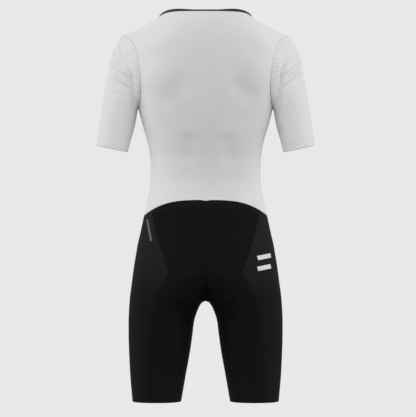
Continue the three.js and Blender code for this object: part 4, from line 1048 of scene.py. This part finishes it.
def closed_pair(name, outer, inner):
    """A closed piece between two grids of the same size."""
    uv = np.stack(cloth_lengths(outer), axis=-1)
    piece = grid_object(name, outer, uv)
    select_only(piece, grid_object(name + "_inner", inner[:, ::-1], uv[:, ::-1]))
    bpy.ops.object.join()
    size = outer[..., 0].size
    top = np.arange(size).reshape(outer.shape[:2])
    low = size + top[:, ::-1]
    rims = [np.concatenate([g[0, :-1], g[:-1, -1], g[-1, :0:-1], g[:0:-1, 0]]).tolist() for g in (top, low)]
    corners = list(zip(*rims))
    with opened(piece) as mesh:
        mesh.verts.ensure_lookup_table()
        for (a, b), (c, d) in zip(corners, corners[1:] + corners[:1]):
            mesh.faces.new([mesh.verts[index] for index in (a, c, d, b)])
        bmesh.ops.recalc_face_normals(mesh, faces=mesh.faces)
    return piece


# Materials


def scaled(colour, share):
    """A colour with each of its parts multiplied."""
    return tuple(share * part for part in colour)


class Number:
    """A number in a material's nodes; sums and products on it add the maths nodes."""

    def __init__(self, recipe, socket):
        self.recipe = recipe
        self.socket = socket

    def __add__(self, other):
        return self.recipe.maths("ADD", self, other)

    def __radd__(self, other):
        return self.recipe.maths("ADD", other, self)

    def __sub__(self, other):
        return self.recipe.maths("SUBTRACT", self, other)

    def __rsub__(self, other):
        return self.recipe.maths("SUBTRACT", other, self)

    def __mul__(self, other):
        return self.recipe.maths("MULTIPLY", self, other)

    def __rmul__(self, other):
        return self.recipe.maths("MULTIPLY", other, self)

    def __pow__(self, other):
        return self.recipe.maths("POWER", self, other)


class Recipe:
    """Builds the nodes of one material, or of the world."""

    def __init__(self, tree):
        self.tree = tree

    def node(self, kind, settings=None, values=None):
        """A node with its settings, and with values or links for its inputs."""
        made = self.tree.nodes.new(kind)
        for name, setting in (settings or {}).items():
            setattr(made, name, setting)
        for name, value in (values or {}).items():
            socket = made.inputs[name]
            if isinstance(value, Number):
                value = value.socket
            if isinstance(value, bpy.types.NodeSocket):
                self.tree.links.new(value, socket)
            else:
                socket.default_value = value
        return made

    def maths(self, operation, *values):
        made = self.node("ShaderNodeMath", {"operation": operation}, dict(enumerate(values)))
        return Number(self, made.outputs[0])

    def sine(self, value):
        return self.maths("SINE", value)

    def within(self, value):
        """The value kept between 0 and 1."""
        return self.maths("MINIMUM", self.maths("MAXIMUM", value, 0.0), 1.0)

    def blend(self, factor, a, b):
        """A colour between two colours."""
        values = {0: factor, 6: (*a, 1.0), 7: (*b, 1.0)}
        return self.node("ShaderNodeMix", {"data_type": "RGBA"}, values).outputs[2]

    def mixed_tone_and_painted_light(self, factor, colour, tone_and_light_factor):
        """A colour made lighter or deeper by painted light and shade (over the pad also by the cloth's own
        tone), as far as the factor says.
        """
        kind = {"data_type": "RGBA", "blend_type": "MULTIPLY"}
        return self.node("ShaderNodeMix", kind, {0: factor, 6: colour, 7: (tone_and_light_factor, tone_and_light_factor, tone_and_light_factor, 1.0)}).outputs[2]

    def split(self, vector):
        """The numbers x, y and z of a vector."""
        made = self.node("ShaderNodeSeparateXYZ", None, {0: vector})
        return [Number(self, part) for part in made.outputs]

    def place(self):
        """The Object coordinates of a point."""
        return self.node("ShaderNodeTexCoord").outputs["Object"]

    def cloth_place(self):
        """The cloth coordinates of a point, in metres."""
        return self.split(self.node("ShaderNodeUVMap", {"uv_map": UV_NAME}).outputs[0])[:2]

    def noise(self, scale, detail=2.0):
        """A soft random number on Object coordinates."""
        values = {"Vector": self.place(), "Scale": scale, "Detail": detail, "Roughness": 0.5}
        return Number(self, self.node("ShaderNodeTexNoise", None, values).outputs[0])

    def bump(self, height, strength, distance):
        values = {"Height": height, "Strength": strength, "Distance": distance}
        return self.node("ShaderNodeBump", None, values).outputs[0]


def new_material(name, colour, surface):
    """A material whose surface function fills in what varies; colour is its plain viewport colour."""
    made = bpy.data.materials.new(name)
    made.use_nodes = True
    made.diffuse_color = (*colour, 1.0)
    made.node_tree.nodes.clear()
    recipe = Recipe(made.node_tree)
    shader = recipe.node("ShaderNodeBsdfPrincipled", None, surface(recipe))
    recipe.node("ShaderNodeOutputMaterial", None, {"Surface": shader.outputs[0]})
    return made


def knit_material(
    name, colour, deep, roughness, sheen, pitch=0.0011, relief=0.00012, specular=0.3, spot=None
):
    """Fine jersey: columns of loops and rows across them, with painted shade in the loops' hollows, and
    perhaps one spot of painted light and shade (over the pad also the cloth's own tone).
    """
    def surface(recipe):
        u, v = recipe.cloth_place()
        turn = 2 * math.pi / pitch
        loops = recipe.sine(u * turn) * 0.5 + 0.5
        rows = recipe.sine(v * (turn * 0.8) + recipe.sine(u * turn) * 0.9) * 0.5 + 0.5
        height = loops * 0.6 + rows * 0.4
        cloud = recipe.noise(14.0, 3.0)
        # Painted shade: the colour deepens in the hollows between the loops; the clouds are the knit's own
        # random tone
        base = recipe.blend(cloud * 0.5 + height * 0.25, deep, colour)
        # The spot lightens or deepens the colour: painted shade on the back, a painted sheen on the hips, and
        # over the pad the cloth's own tone with painted shade
        if spot:
            middle_x, middle_z, half_width, half_high, rise, tone_and_light_factor = spot
            x, _, z = recipe.split(recipe.place())
            across = ((x - middle_x) * (1 / half_width)) ** 2
            up = ((z - middle_z) * (1 / half_high)) ** 2
            base = recipe.mixed_tone_and_painted_light(recipe.within((1.0 - across - up) * rise), base, tone_and_light_factor)
        return {
            "Base Color": base,
            "Roughness": cloud * 0.1 + (roughness - 0.05),
            "Specular IOR Level": specular,
            "Sheen Weight": sheen,
            "Sheen Roughness": 0.5,
            "Normal": recipe.bump(height + recipe.noise(900.0) * 0.3, 0.35, relief),
        }

    return new_material(name, colour, surface)


def diamond_material(name, colour, deep, pitch, relief):
    """Embossed knit: thin raised lines in two slanting families, with flat diamonds between them; its colour
    is lighter on the lines and deeper in the diamonds, as painted shade of the emboss.
    """
    def surface(recipe):
        u, v = recipe.cloth_place()
        turn = math.pi / pitch
        wander = recipe.noise(35.0) * 0.35
        along, aslant = u * math.sin(DIAMOND_SLANT), v * math.cos(DIAMOND_SLANT)
        first = recipe.maths("ABSOLUTE", recipe.sine((along + aslant) * turn + wander)) ** DIAMOND_SHARP
        second = recipe.maths("ABSOLUTE", recipe.sine((along - aslant) * turn - wander)) ** DIAMOND_SHARP
        ridge = recipe.maths("MAXIMUM", first, second)
        cloud = recipe.noise(18.0, 3.0) * 0.2
        return {
            # Painted shade: the colour deepens away from the raised lines; the clouds are the knit's own
            # random tone
            "Base Color": recipe.blend(ridge * 0.8 + cloud, deep, colour),
            "Roughness": 0.75 - ridge * 0.12,
            "Specular IOR Level": 0.3,
            "Sheen Weight": 0.15,
            "Sheen Roughness": 0.5,
            "Normal": recipe.bump(ridge + recipe.noise(900.0) * 0.2, 0.8, relief),
        }

    return new_material(name, colour, surface)


def thread_material(name, colour, roughness=0.6):
    """Thread with a fine grain."""
    def surface(recipe):
        cloud = recipe.noise(2500.0)
        return {
            "Base Color": recipe.blend(cloud, scaled(colour, 0.7), colour),
            "Roughness": roughness,
            "Specular IOR Level": 0.05,
            "Normal": recipe.bump(cloud, 0.3, 0.0001),
        }

    return new_material(name, colour, surface)


def hard_material(name, colour, roughness, metallic):
    """A smooth hard finish with faint clouds."""
    def surface(recipe):
        cloud = recipe.noise(300.0, 4.0)
        return {
            "Base Color": recipe.blend(cloud, colour, scaled(colour, 1.4)),
            "Roughness": cloud * 0.2 + (roughness - 0.1),
            "Metallic": metallic,
            "Normal": recipe.bump(cloud, 0.1, 0.00005),
        }

    return new_material(name, colour, surface)


def make_materials():
    """All knits, threads and hard finishes of the suit."""
    looks = bpy.context.scene.suit_colours
    white, black, gloss = tuple(looks.white), tuple(looks.black), tuple(looks.gloss)
    sleeve, binding, tab = tuple(looks.sleeve), tuple(looks.binding), tuple(looks.tab)
    dark = {"roughness": 0.75, "sheen": 0.0, "specular": 0.06}
    # Each knit's second colour is the deeper one painted into its hollows as shade
    knit_material("white_knit", white, scaled(white, 0.9), 0.85, 0.2)
    # Spots of painted light and shade: painted shade on the back, the cloth's own tone with painted shade
    # over the pad, a painted sheen on the side panels
    knit_material("back_knit", white, scaled(white, 0.9), 0.85, 0.2, spot=BACK_PAINTED_SHADE)
    diamond_material("diamond_knit", sleeve, scaled(sleeve, 0.9), looks.diamond_pitch, 0.0006)
    knit_material("black_knit", black, scaled(black, 0.7), **dark)
    knit_material("seat_knit", scaled(black, 0.98), scaled(black, 0.7), **dark, spot=PAD_TONE_AND_PAINTED_SHADE)
    knit_material("gloss_knit", gloss, scaled(gloss, 0.75), 0.7, 0.0, 0.0013, 0.00015, 0.03, HIP_PAINTED_SHINE)
    knit_material("strip_knit", scaled(black, 1.5), black, **dark)
    knit_material("binding_knit", binding, scaled(binding, 0.75), 0.6, 0.1, 0.0009, 0.0001)
    knit_material("tab_weave", tab, scaled(tab, 0.7), 0.7, 0.1, 0.0008, 0.0001)
    knit_material("pad_cloth", *PAD_COLOURS, 0.85, 0.1, 0.003, 0.0004)
    thread_material("white_thread", scaled(white, 0.95))
    for name, values in THREADS.items():
        thread_material(name, *values)
    for name, values in FINISHES.items():
        hard_material(name, *values)


# Settings


class ClothSizes(bpy.types.PropertyGroup):
    """Sizes of the cloth, its seams and its stitches"""

    wall: FloatProperty(name="Wall", description="Thickness of the cloth", default=1.5 * MM, unit="LENGTH")
    seam_depth: FloatProperty(
        name="Seam depth", description="How far a seam is drawn in", default=0.7 * MM, unit="LENGTH"
    )
    seam_width: FloatProperty(
        name="Seam width", description="How wide a seam's groove is", default=2.2 * MM, unit="LENGTH"
    )
    stitch_pitch: FloatProperty(
        name="Stitch pitch", description="From stitch to stitch", default=3.2 * MM, unit="LENGTH"
    )


class Colours(bpy.types.PropertyGroup):
    """Colours of the knits, and the pitch of the sleeves' diamonds"""

    white: FloatVectorProperty(
        name="White", description="Knit of the top", default=(0.8, 0.8, 0.8), subtype="COLOR"
    )
    sleeve: FloatVectorProperty(
        name="Sleeve", description="Knit of the sleeves", default=(0.8, 0.8, 0.8), subtype="COLOR"
    )
    black: FloatVectorProperty(
        name="Black", description="Knit of the shorts", default=(0.0066, 0.0066, 0.007), subtype="COLOR"
    )
    gloss: FloatVectorProperty(
        name="Side", description="Glossier side panels", default=(0.0105, 0.0105, 0.0112), subtype="COLOR"
    )
    binding: FloatVectorProperty(
        name="Binding", description="Neck binding", default=(0.02, 0.02, 0.022), subtype="COLOR"
    )
    tab: FloatVectorProperty(name="Tab", description="Side tab", default=(0.12, 0.12, 0.125), subtype="COLOR")
    diamond_pitch: FloatProperty(
        name="Diamonds", description="Pitch of the embossed diamonds", default=8.7 * MM, unit="LENGTH"
    )


class StageSizes(bpy.types.PropertyGroup):
    """Sizes, light and colour of the stage"""

    distance: FloatProperty(
        name="Distance", description="From the camera to the suit", default=6.0, unit="LENGTH"
    )
    view_height: FloatProperty(
        name="View", description="Height of the picture at the suit", default=0.944, unit="LENGTH"
    )
    floor_z: FloatProperty(name="Floor", description="Height of the floor", default=-1.25, unit="LENGTH")
    floor_half: FloatProperty(
        name="Floor half", description="Half the floor's width", default=30.0, unit="LENGTH"
    )
    paper: FloatVectorProperty(
        name="Paper", description="Colour of the backdrop", default=(0.807, 0.807, 0.807), subtype="COLOR"
    )
    base_light: FloatProperty(name="Base light", description="Even light from all around", default=0.36)
    floor_shade: FloatProperty(
        name="Floor shade", description="How much less light comes from below", default=0.3
    )


# The stage


def light_on_floor(stage):
    """How brightly the studio lights an upward face, so that the floor can match the backdrop."""
    count = 40000
    index = np.arange(count) + 0.5
    high = 1 - index / count
    turn = np.pi * (1 + math.sqrt(5)) * index
    level = np.sqrt(1 - high * high)
    ways = np.stack([level * np.cos(turn), level * np.sin(turn), high], axis=1)
    light = np.full(count, stage.base_light)
    for way, strength, tightness in SOFT_BOXES:
        light += strength * np.clip(ways @ np.array(Vector(way).normalized()), 0, None) ** tightness
    light *= 1 - np.clip(BELOW_FROM - high, 0, 1) * stage.floor_shade
    return float(2 * np.mean(light * high))


def add_camera(stage):
    """The camera behind the suit, level with its middle."""
    deselect()
    bpy.ops.object.camera_add(location=(CAMERA_AIM[0], stage.distance, CAMERA_AIM[2]))
    camera = bpy.context.object
    camera.name = "camera"
    camera.rotation_euler = (math.pi / 2, 0.0, math.pi)
    camera.data.sensor_fit = "AUTO"
    camera.data.angle = 2 * math.atan(stage.view_height / 2 / stage.distance)
    bpy.context.scene.camera = camera


def add_floor(stage):
    """A floor that the studio's light makes as bright as the backdrop."""
    deselect()
    bpy.ops.mesh.primitive_plane_add(size=2 * stage.floor_half, location=(0.0, 0.0, stage.floor_z))
    floor = bpy.context.object
    floor.name = "floor"
    bpy.ops.object.transform_apply(location=True, rotation=True, scale=True)
    share = 1.0 / light_on_floor(stage)

    def surface(recipe):
        return {
            "Base Color": recipe.blend(
                recipe.noise(3.0), scaled(stage.paper, share), scaled(stage.paper, 1.01 * share)
            ),
            "Roughness": 1.0,
            "Specular IOR Level": 0.0,
        }

    floor.data.materials.append(new_material("floor_paper", tuple(stage.paper), surface))
    floor.visible_diffuse = False
    floor.visible_glossy = False


def light_studio(stage):
    """Even light and soft boxes all round, in front of a plain backdrop."""
    world = bpy.data.worlds.new("studio")
    bpy.context.scene.world = world
    world.use_nodes = True
    world.node_tree.nodes.clear()
    recipe = Recipe(world.node_tree)
    direction = recipe.node("ShaderNodeTexCoord").outputs["Generated"]
    light = stage.base_light
    for way, strength, tightness in SOFT_BOXES:
        values = {0: direction, 1: Vector(way).normalized()}
        dot = recipe.node("ShaderNodeVectorMath", {"operation": "DOT_PRODUCT"}, values)
        facing = recipe.maths("MAXIMUM", dot.outputs["Value"], 0.0)
        light = facing ** tightness * strength + light
    height = recipe.split(direction)[2]
    light = light * (1.0 - recipe.within(BELOW_FROM - height) * stage.floor_shade)
    glow = recipe.node("ShaderNodeBackground", None, {"Color": (1.0, 1.0, 1.0, 1.0), "Strength": light})
    seen = recipe.node("ShaderNodeBackground", None, {"Color": (*stage.paper, 1.0), "Strength": 1.0})
    rays = recipe.node("ShaderNodeLightPath").outputs["Is Camera Ray"]
    mixed = recipe.node("ShaderNodeMixShader", None, {0: rays, 1: glow.outputs[0], 2: seen.outputs[0]})
    recipe.node("ShaderNodeOutputWorld", None, {"Surface": mixed.outputs[0]})


class SUIT_OT_stage(bpy.types.Operator):
    """The camera, the pale floor and the soft studio light"""

    bl_idname = "suit.stage"
    bl_label = "Stage"

    def execute(self, context):
        stage = context.scene.suit_stage
        context.scene.view_settings.view_transform = "Standard"
        add_camera(stage)
        add_floor(stage)
        light_studio(stage)
        return {"FINISHED"}


# The suit


class SUIT_OT_top(bpy.types.Operator):
    """The back and the two fronts of the top"""

    bl_idname = "suit.top"
    bl_label = "Back and fronts"

    def execute(self, context):
        back, front = whole(top_half_grid("back")), top_half_grid("front")
        cloth("back_body", back, IN_CHEST, "back_knit", folds=BACK_FOLDS, share=0.5)
        for side, sign in SIDES:
            cloth(f"front_{side}", front * (sign, 1, 1), IN_CHEST, "white_knit")
        return {"FINISHED"}


class SUIT_OT_sleeves(bpy.types.Operator):
    """The two sleeves with their folds"""

    bl_idname = "suit.sleeves"
    bl_label = "Sleeves"

    def execute(self, context):
        for side, sign in SIDES:
            grid = sleeve_grid()
            normals = outward(grid, IN_SLEEVE, closed=True)
            back = np.clip(2 * normals[..., 1], 0, 1)
            front = np.clip(-2 * normals[..., 1], 0, 1) * FRONT_FOLD_SHARE
            pressed = fold_depth(grid, SLEEVE_FOLDS[side]) * (back + front)
            grid = (grid - normals * pressed[..., None]) * (sign, 1, 1)
            welt = SEAM_WELT * np.exp(-(((cloth_lengths(grid)[1] - SEAM_WELT_AT) / SEAM_WELT_WIDE) ** 4))
            cloth(
                f"sleeve_{side}", grid, IN_SLEEVE * (sign, 1, 1), "diamond_knit", closed=True,
                seams=("top",), share=0.4, lift=welt, lengths=sleeve_lengths(grid, sign),
            )
        return {"FINISHED"}


class SUIT_OT_shorts(bpy.types.Operator):
    """Waist strips, yokes, seat panels, legs, side panels and gusset of the shorts"""

    bl_idname = "suit.shorts"
    bl_label = "Shorts panels"

    def execute(self, context):
        for name, grid in shorts_panels().items():
            look, slot = PANEL_LOOKS.get(name, ("black_knit", "black_cloth"))
            at_hem = grid[-1, 0, 2] < LEG_HEM_Z + 1
            seams = ALL_EDGES[:3] if at_hem else ALL_EDGES
            for side, sign in SIDES:
                in_leg = (LEG_MIDDLE_X * sign, 0, float(grid[..., 2].mean()))
                folds = SEAT_FOLDS if name == "seat" else ()
                folds = [(sign * x0, z0, sign * x1, *rest) for x0, z0, x1, *rest in folds]
                points = grid * (sign, 1, 1)
                cloth(f"{name}_{side}", points, in_leg, look, folds=folds, seams=seams, share=0.65)
        cloth("gusset", gusset_grid(), ABOVE_CROTCH, "seat_knit")
        return {"FINISHED"}


def neck_lines():
    """The neckline's points from the zip round the back, with the binding's directions up and out."""
    back, front = top_half_grid("back"), top_half_grid("front")
    halves = [np.concatenate([front[row], back[row, ::-1][1:]]) for row in (0, 1)]
    base, below = (np.concatenate([half, mirrored(half)[::-1][1:]]) for half in halves)
    up = unit(unit(base - below) * BINDING_FOLLOW + (0, 0, BINDING_UPRIGHT))
    out = unit(np.cross(np.gradient(base, axis=0), up))
    return base, up, out if out[0, 1] < 0 else -out


class SUIT_OT_neck_binding(bpy.types.Operator):
    """The narrow band round the neck"""

    bl_idname = "suit.neck_binding"
    bl_label = "Neck binding"

    def execute(self, context):
        base, up, out = neck_lines()
        dip = BINDING_DIP * np.exp(-((base[:, :1] / BINDING_DIP_HALF) ** 4)) * (base[:, 1:2] > 0)
        low = base + up * (SEAM_GAP - BINDING_SINK - dip)
        middle = low + up * (BINDING_HIGH / 2) - out * (BINDING_WALL / 2 - BINDING_PROUD)
        profile = band_profile(BINDING_HIGH, BINDING_WALL / 2, -BINDING_WALL / 2)
        strip("neck_binding_band", middle, out, profile, "binding_knit", "neck_binding")
        stitched = low + up * BINDING_STITCH_ABOVE + out * (BINDING_PROUD + 0.05)
        stitch_row("neck_stitches", stitched, out, "black_thread", lift=0.0)
        return {"FINISHED"}


def row_above(grid, normals, height):
    """A line on the cloth at a distance above its last row, with the outward directions."""
    up, ways = grid[::-1], normals[::-1]
    reach = cloth_lengths(up)[1]
    at = np.array([np.interp(height, reach[:, col], np.arange(len(up))) for col in range(up.shape[1])])
    row, cols = at.astype(int), np.arange(up.shape[1])
    share = (at - row)[:, None]
    return mix(up[row, cols], up[row + 1, cols], share), mix(ways[row, cols], ways[row + 1, cols], share)


class SUIT_OT_waist_hem(bpy.types.Operator):
    """The narrow hem over the waist seam of the back, with its stitches"""

    bl_idname = "suit.waist_hem"
    bl_label = "Waist hem"

    def execute(self, context):
        grid = whole(top_half_grid("back"))
        normals = outward(grid, IN_CHEST)
        middle = grid[-1] + unit(grid[-2] - grid[-1]) * (HEM_HIGH / 2 + SEAM_GAP / 2)
        profile = band_profile(HEM_HIGH, HEM_PROUD, SEAM_GAP)
        strip("waist_hem_band", middle, normals[-1], profile, "white_knit", "waist_hem")
        line, ways = row_above(grid, normals, HEM_HIGH + HEM_STITCH_ABOVE)
        stitch_row("waist_hem_stitches", line, ways, "white_thread")
        return {"FINISHED"}


class SUIT_OT_seams(bpy.types.Operator):
    """Seam cords and stitches of the shorts and of the armholes"""

    bl_idname = "suit.seams"
    bl_label = "Seams and stitches"

    def execute(self, context):
        s = seam_spots()

        def both_sides(names):
            return [shorts_line(s[name], sign) for name in names for _, sign in SIDES]

        lines = both_sides(("arc", "lower", "gusset_back", "gusset_front"))
        lines.append(shorts_line(middle_spots(ARC_Z, GUSSET_TOP_Z, 30)))
        seam_cord("shorts_seam_cords", lines, "dark_thread", wide=0.75, lift=-0.15)
        lines = both_sides(("yoke_side", "seat_side", "leg_side", "flank_front"))
        seam_cord("side_seam_cords", lines, "black_thread", wide=0.7, lift=-0.2)
        centre, out = shorts_line(middle_spots(STRIP_LOW_Z - 2, ARC_Z + 2, 60))
        stitch_row("yoke_centre_stitches", centre, out, "light_thread", length=1.8, lift=-0.2)
        for side, sign in SIDES:
            for name, (seam, beside) in STITCHED_SEAMS.items():
                points, out = shorts_line(s[seam], sign)
                points = points + aside(points, out) * beside * sign
                stitch_row(f"{name}_stitches_{side}", points, out, "black_thread")
        for side, sign in SIDES:
            grid = sleeve_grid() * (sign, 1, 1)
            normals = outward(grid, IN_SLEEVE * (sign, 1, 1), closed=True)
            seam = [(grid[0], normals[0])]
            seam_cord(f"armhole_seam_cord_{side}", seam, "grey_thread", wide=0.7, lift=-0.2)
            row = np.argmin(np.abs(cloth_lengths(grid)[1] - 2 * SEAM_WELT_AT), axis=0)
            cols = np.arange(grid.shape[1])
            line, out = grid[row, cols], normals[row, cols]
            stitch_row(f"armhole_stitches_{side}", line, out, "white_thread", lift=-0.05)
        return {"FINISHED"}


class SUIT_OT_pad_outline(bpy.types.Operator):
    """The seat pad's zigzag stitching, which shows on the seat"""

    bl_idname = "suit.pad_outline"
    bl_label = "Pad outline"

    def execute(self, context):
        share = np.linspace(0, 1, 120)
        x, z = column(PAD_STITCHING, 1)(share), column(PAD_STITCHING, 2)(share)
        for side, sign in SIDES:
            points, out = back_line(x, z, sign)
            stitch_row(
                f"pad_zigzag_{side}", points, out, "faint_thread",
                length=6.2, thick=0.9, lift=0.15, slant=66.0, pitch=2.9,
            )
        return {"FINISHED"}


class SUIT_OT_side_tab(bpy.types.Operator):
    """The narrow woven tab on the left hip"""

    bl_idname = "suit.side_tab"
    bl_label = "Side tab"

    def execute(self, context):
        share = np.linspace(0, 1, 60)
        points, out = back_line(mix(TAB_FROM[0], TAB_TO[0], share), mix(TAB_FROM[1], TAB_TO[1], share))
        round_end = np.clip(np.minimum(share, 1 - share) * 20 + 0.1, 0, 1)
        width = TAB_HALF * np.sqrt(round_end)[:, None, None]
        across = np.linspace(-1, 1, 9)[None, :, None]
        crown = SEAM_GAP + TAB_WALL - 0.25 * np.abs(across) ** 4
        grid = points[:, None] + aside(points, out)[:, None] * (across * width) + out[:, None] * crown
        in_hip, wall = (LEG_MIDDLE_X, 0, TAB_FROM[1]), TAB_WALL * 0.8 * MM
        cloth("side_tab", grid, in_hip, "tab_weave", ending="strip", wall=wall, seams=())
        inside = slice(4, -4)
        stitch_row(
            "side_tab_stitches", grid[inside, 1], out[inside], "light_thread",
            length=1.6, thick=0.3, lift=0.05,
        )
        return {"FINISHED"}


class SUIT_OT_reflective_bars(bpy.types.Operator):
    """Plain reflective bars on the right hip"""

    bl_idname = "suit.reflective_bars"
    bl_label = "Reflective bars"

    def execute(self, context):
        x = np.linspace(*BAR_X, 24)
        for number, z in enumerate(BAR_HEIGHTS, 1):
            points, out = back_line(x, z + (x - x[0]) * BAR_SLOPE, -1)
            profile = band_profile(BAR_WIDE, 0.18, -0.1, 3)
            strip(f"reflective_bar_{number}", points, out, profile, "reflective_film")
        return {"FINISHED"}


class SUIT_OT_seat_pad(bpy.types.Operator):
    """The foam pad inside the seat, with its raised lobes and channels"""

    bl_idname = "suit.seat_pad"
    bl_label = "Seat pad"

    def execute(self, context):
        half = PAD_STEPS // 2
        middle = round_the_crotch(crotch_line(1, PAD_BACK_Z, half), crotch_line(-1, PAD_FRONT_Z, half))
        grid = across_the_middle(pad_spots(), middle, PAD_ACROSS)
        normals = outward(grid, ABOVE_CROTCH)
        from_middle = np.abs(np.linspace(-1, 1, 2 * PAD_ACROSS + 1))
        share = np.linspace(0, 1, PAD_STEPS + 1)[:, None]
        from_end = 1 - np.abs(2 * share - 1)
        full = np.minimum(1, np.minimum(PAD_RIM_RISE * (1 - from_middle), PAD_END_RISE * from_end))
        channel = sum(np.exp(-(((from_middle - at) / wide) ** 2)) for at, wide in PAD_CHANNELS) * (full > 0.6)
        thick = mix(PAD_EDGE_THICK, PAD_THICK, soft_step(full)) * (1 - PAD_CHANNEL_DEEP * channel)
        crotch = np.clip((share - PAD_DEEP_FROM) / (PAD_DEEP_TO - PAD_DEEP_FROM), 0, 1)
        deep = PAD_GAP + PAD_CLEAR * np.sqrt(np.sin(np.pi * crotch))
        inner = grid - normals * (deep + thick)[..., None]
        piece = closed_pair("seat_pad_foam", grid - normals * deep[..., None], inner)
        finish_piece(piece, "pad_cloth", "seat_pad", smooth=50.0)
        return {"FINISHED"}


class SUIT_OT_zip(bpy.types.Operator):
    """The zip's tape and teeth; its slider and pull keep their solids"""

    bl_idname = "suit.zip"
    bl_label = "Zip"

    def execute(self, context):
        front = top_half_grid("front")
        line = front[:, 0] * (0, 1, 1)
        down = unit(np.gradient(line, axis=0))
        out = np.stack([0 * down[:, 0], down[:, 2], -down[:, 1]], axis=1)
        reach = reach_along(line)
        inside = (reach > SEAM_GAP) & (reach < reach[-1] - SEAM_GAP)
        profile = band_profile(2 * TAPE_HALF, -TAPE_DEEP, -TAPE_DEEP - TAPE_WALL)
        strip("zip_tape_band", line[inside], out[inside], profile, "black_knit", "zip_tape")
        below = reach > CHAIN_FROM
        place, along, ways = stations(line[below], out[below], TOOTH_PITCH)
        sway = np.where(np.arange(len(place)) % 2 == 0, TOOTH_SWAY, -TOOTH_SWAY)[:, None]
        place = place + np.cross(ways, along) * sway
        piece = lay_copies("zip_teeth", one_tooth(), place, along, ways, lift=TOOTH_LIFT)
        finish_piece(piece, "zip_plastic", "zip_chain")
        edge, ways = front[ZIP_STITCH_FROM:, 1], outward(front, IN_CHEST)[ZIP_STITCH_FROM:, 1]
        for side, sign in SIDES:
            line, out = edge * (sign, 1, 1), ways * (sign, 1, 1)
            stitch_row(f"zip_stitches_{side}", line, out, "white_thread", lift=0.0)
        for name in ("zip_slider", "zip_pull"):
            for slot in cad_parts[name].material_slots:
                slot.material = bpy.data.materials["zip_paint"]
        return {"FINISHED"}


class SUIT_OT_cuts(bpy.types.Operator):
    """Goes through each piece's cut in the table, and makes nothing from it"""

    bl_idname = "suit.cuts"
    bl_label = "Cuts"

    def execute(self, context):
        for pattern, (width, length, area) in CUTS.items():
            for name in dict.fromkeys(pattern.format(side) for side, _ in SIDES):
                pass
        return {"FINISHED"}


STEPS = (
    SUIT_OT_stage, SUIT_OT_top, SUIT_OT_sleeves, SUIT_OT_shorts, SUIT_OT_neck_binding, SUIT_OT_waist_hem,
    SUIT_OT_seams, SUIT_OT_pad_outline, SUIT_OT_side_tab, SUIT_OT_reflective_bars, SUIT_OT_seat_pad,
    SUIT_OT_zip, SUIT_OT_cuts,
)


class SUIT_PT_panel(bpy.types.Panel):
    """The suit's sizes and the steps that build it"""

    bl_idname = "SUIT_PT_panel"
    bl_label = "Suit"
    bl_space_type = "VIEW_3D"
    bl_region_type = "UI"
    bl_category = "Suit"

    def draw(self, context):
        for group in (context.scene.suit_cloth, context.scene.suit_colours, context.scene.suit_stage):
            for name in group.__annotations__:
                self.layout.prop(group, name)
        for kind in STEPS:
            self.layout.operator(kind.bl_idname)


CLASSES = (ClothSizes, Colours, StageSizes, *STEPS, SUIT_PT_panel)


def register():
    for kind in CLASSES:
        bpy.utils.register_class(kind)
    bpy.types.Scene.suit_cloth = PointerProperty(type=ClothSizes)
    bpy.types.Scene.suit_colours = PointerProperty(type=Colours)
    bpy.types.Scene.suit_stage = PointerProperty(type=StageSizes)


def unregister():
    del bpy.types.Scene.suit_stage
    del bpy.types.Scene.suit_colours
    del bpy.types.Scene.suit_cloth
    for kind in reversed(CLASSES):
        bpy.utils.unregister_class(kind)


def main():
    register()
    make_materials()
    bpy.ops.suit.stage()
    bpy.ops.suit.top()
    bpy.ops.suit.sleeves()
    bpy.ops.suit.shorts()
    bpy.ops.suit.neck_binding()
    bpy.ops.suit.waist_hem()
    bpy.ops.suit.seams()
    bpy.ops.suit.pad_outline()
    bpy.ops.suit.side_tab()
    bpy.ops.suit.reflective_bars()
    bpy.ops.suit.seat_pad()
    bpy.ops.suit.zip()
    bpy.ops.suit.cuts()


if __name__ == "__main__":
    main()
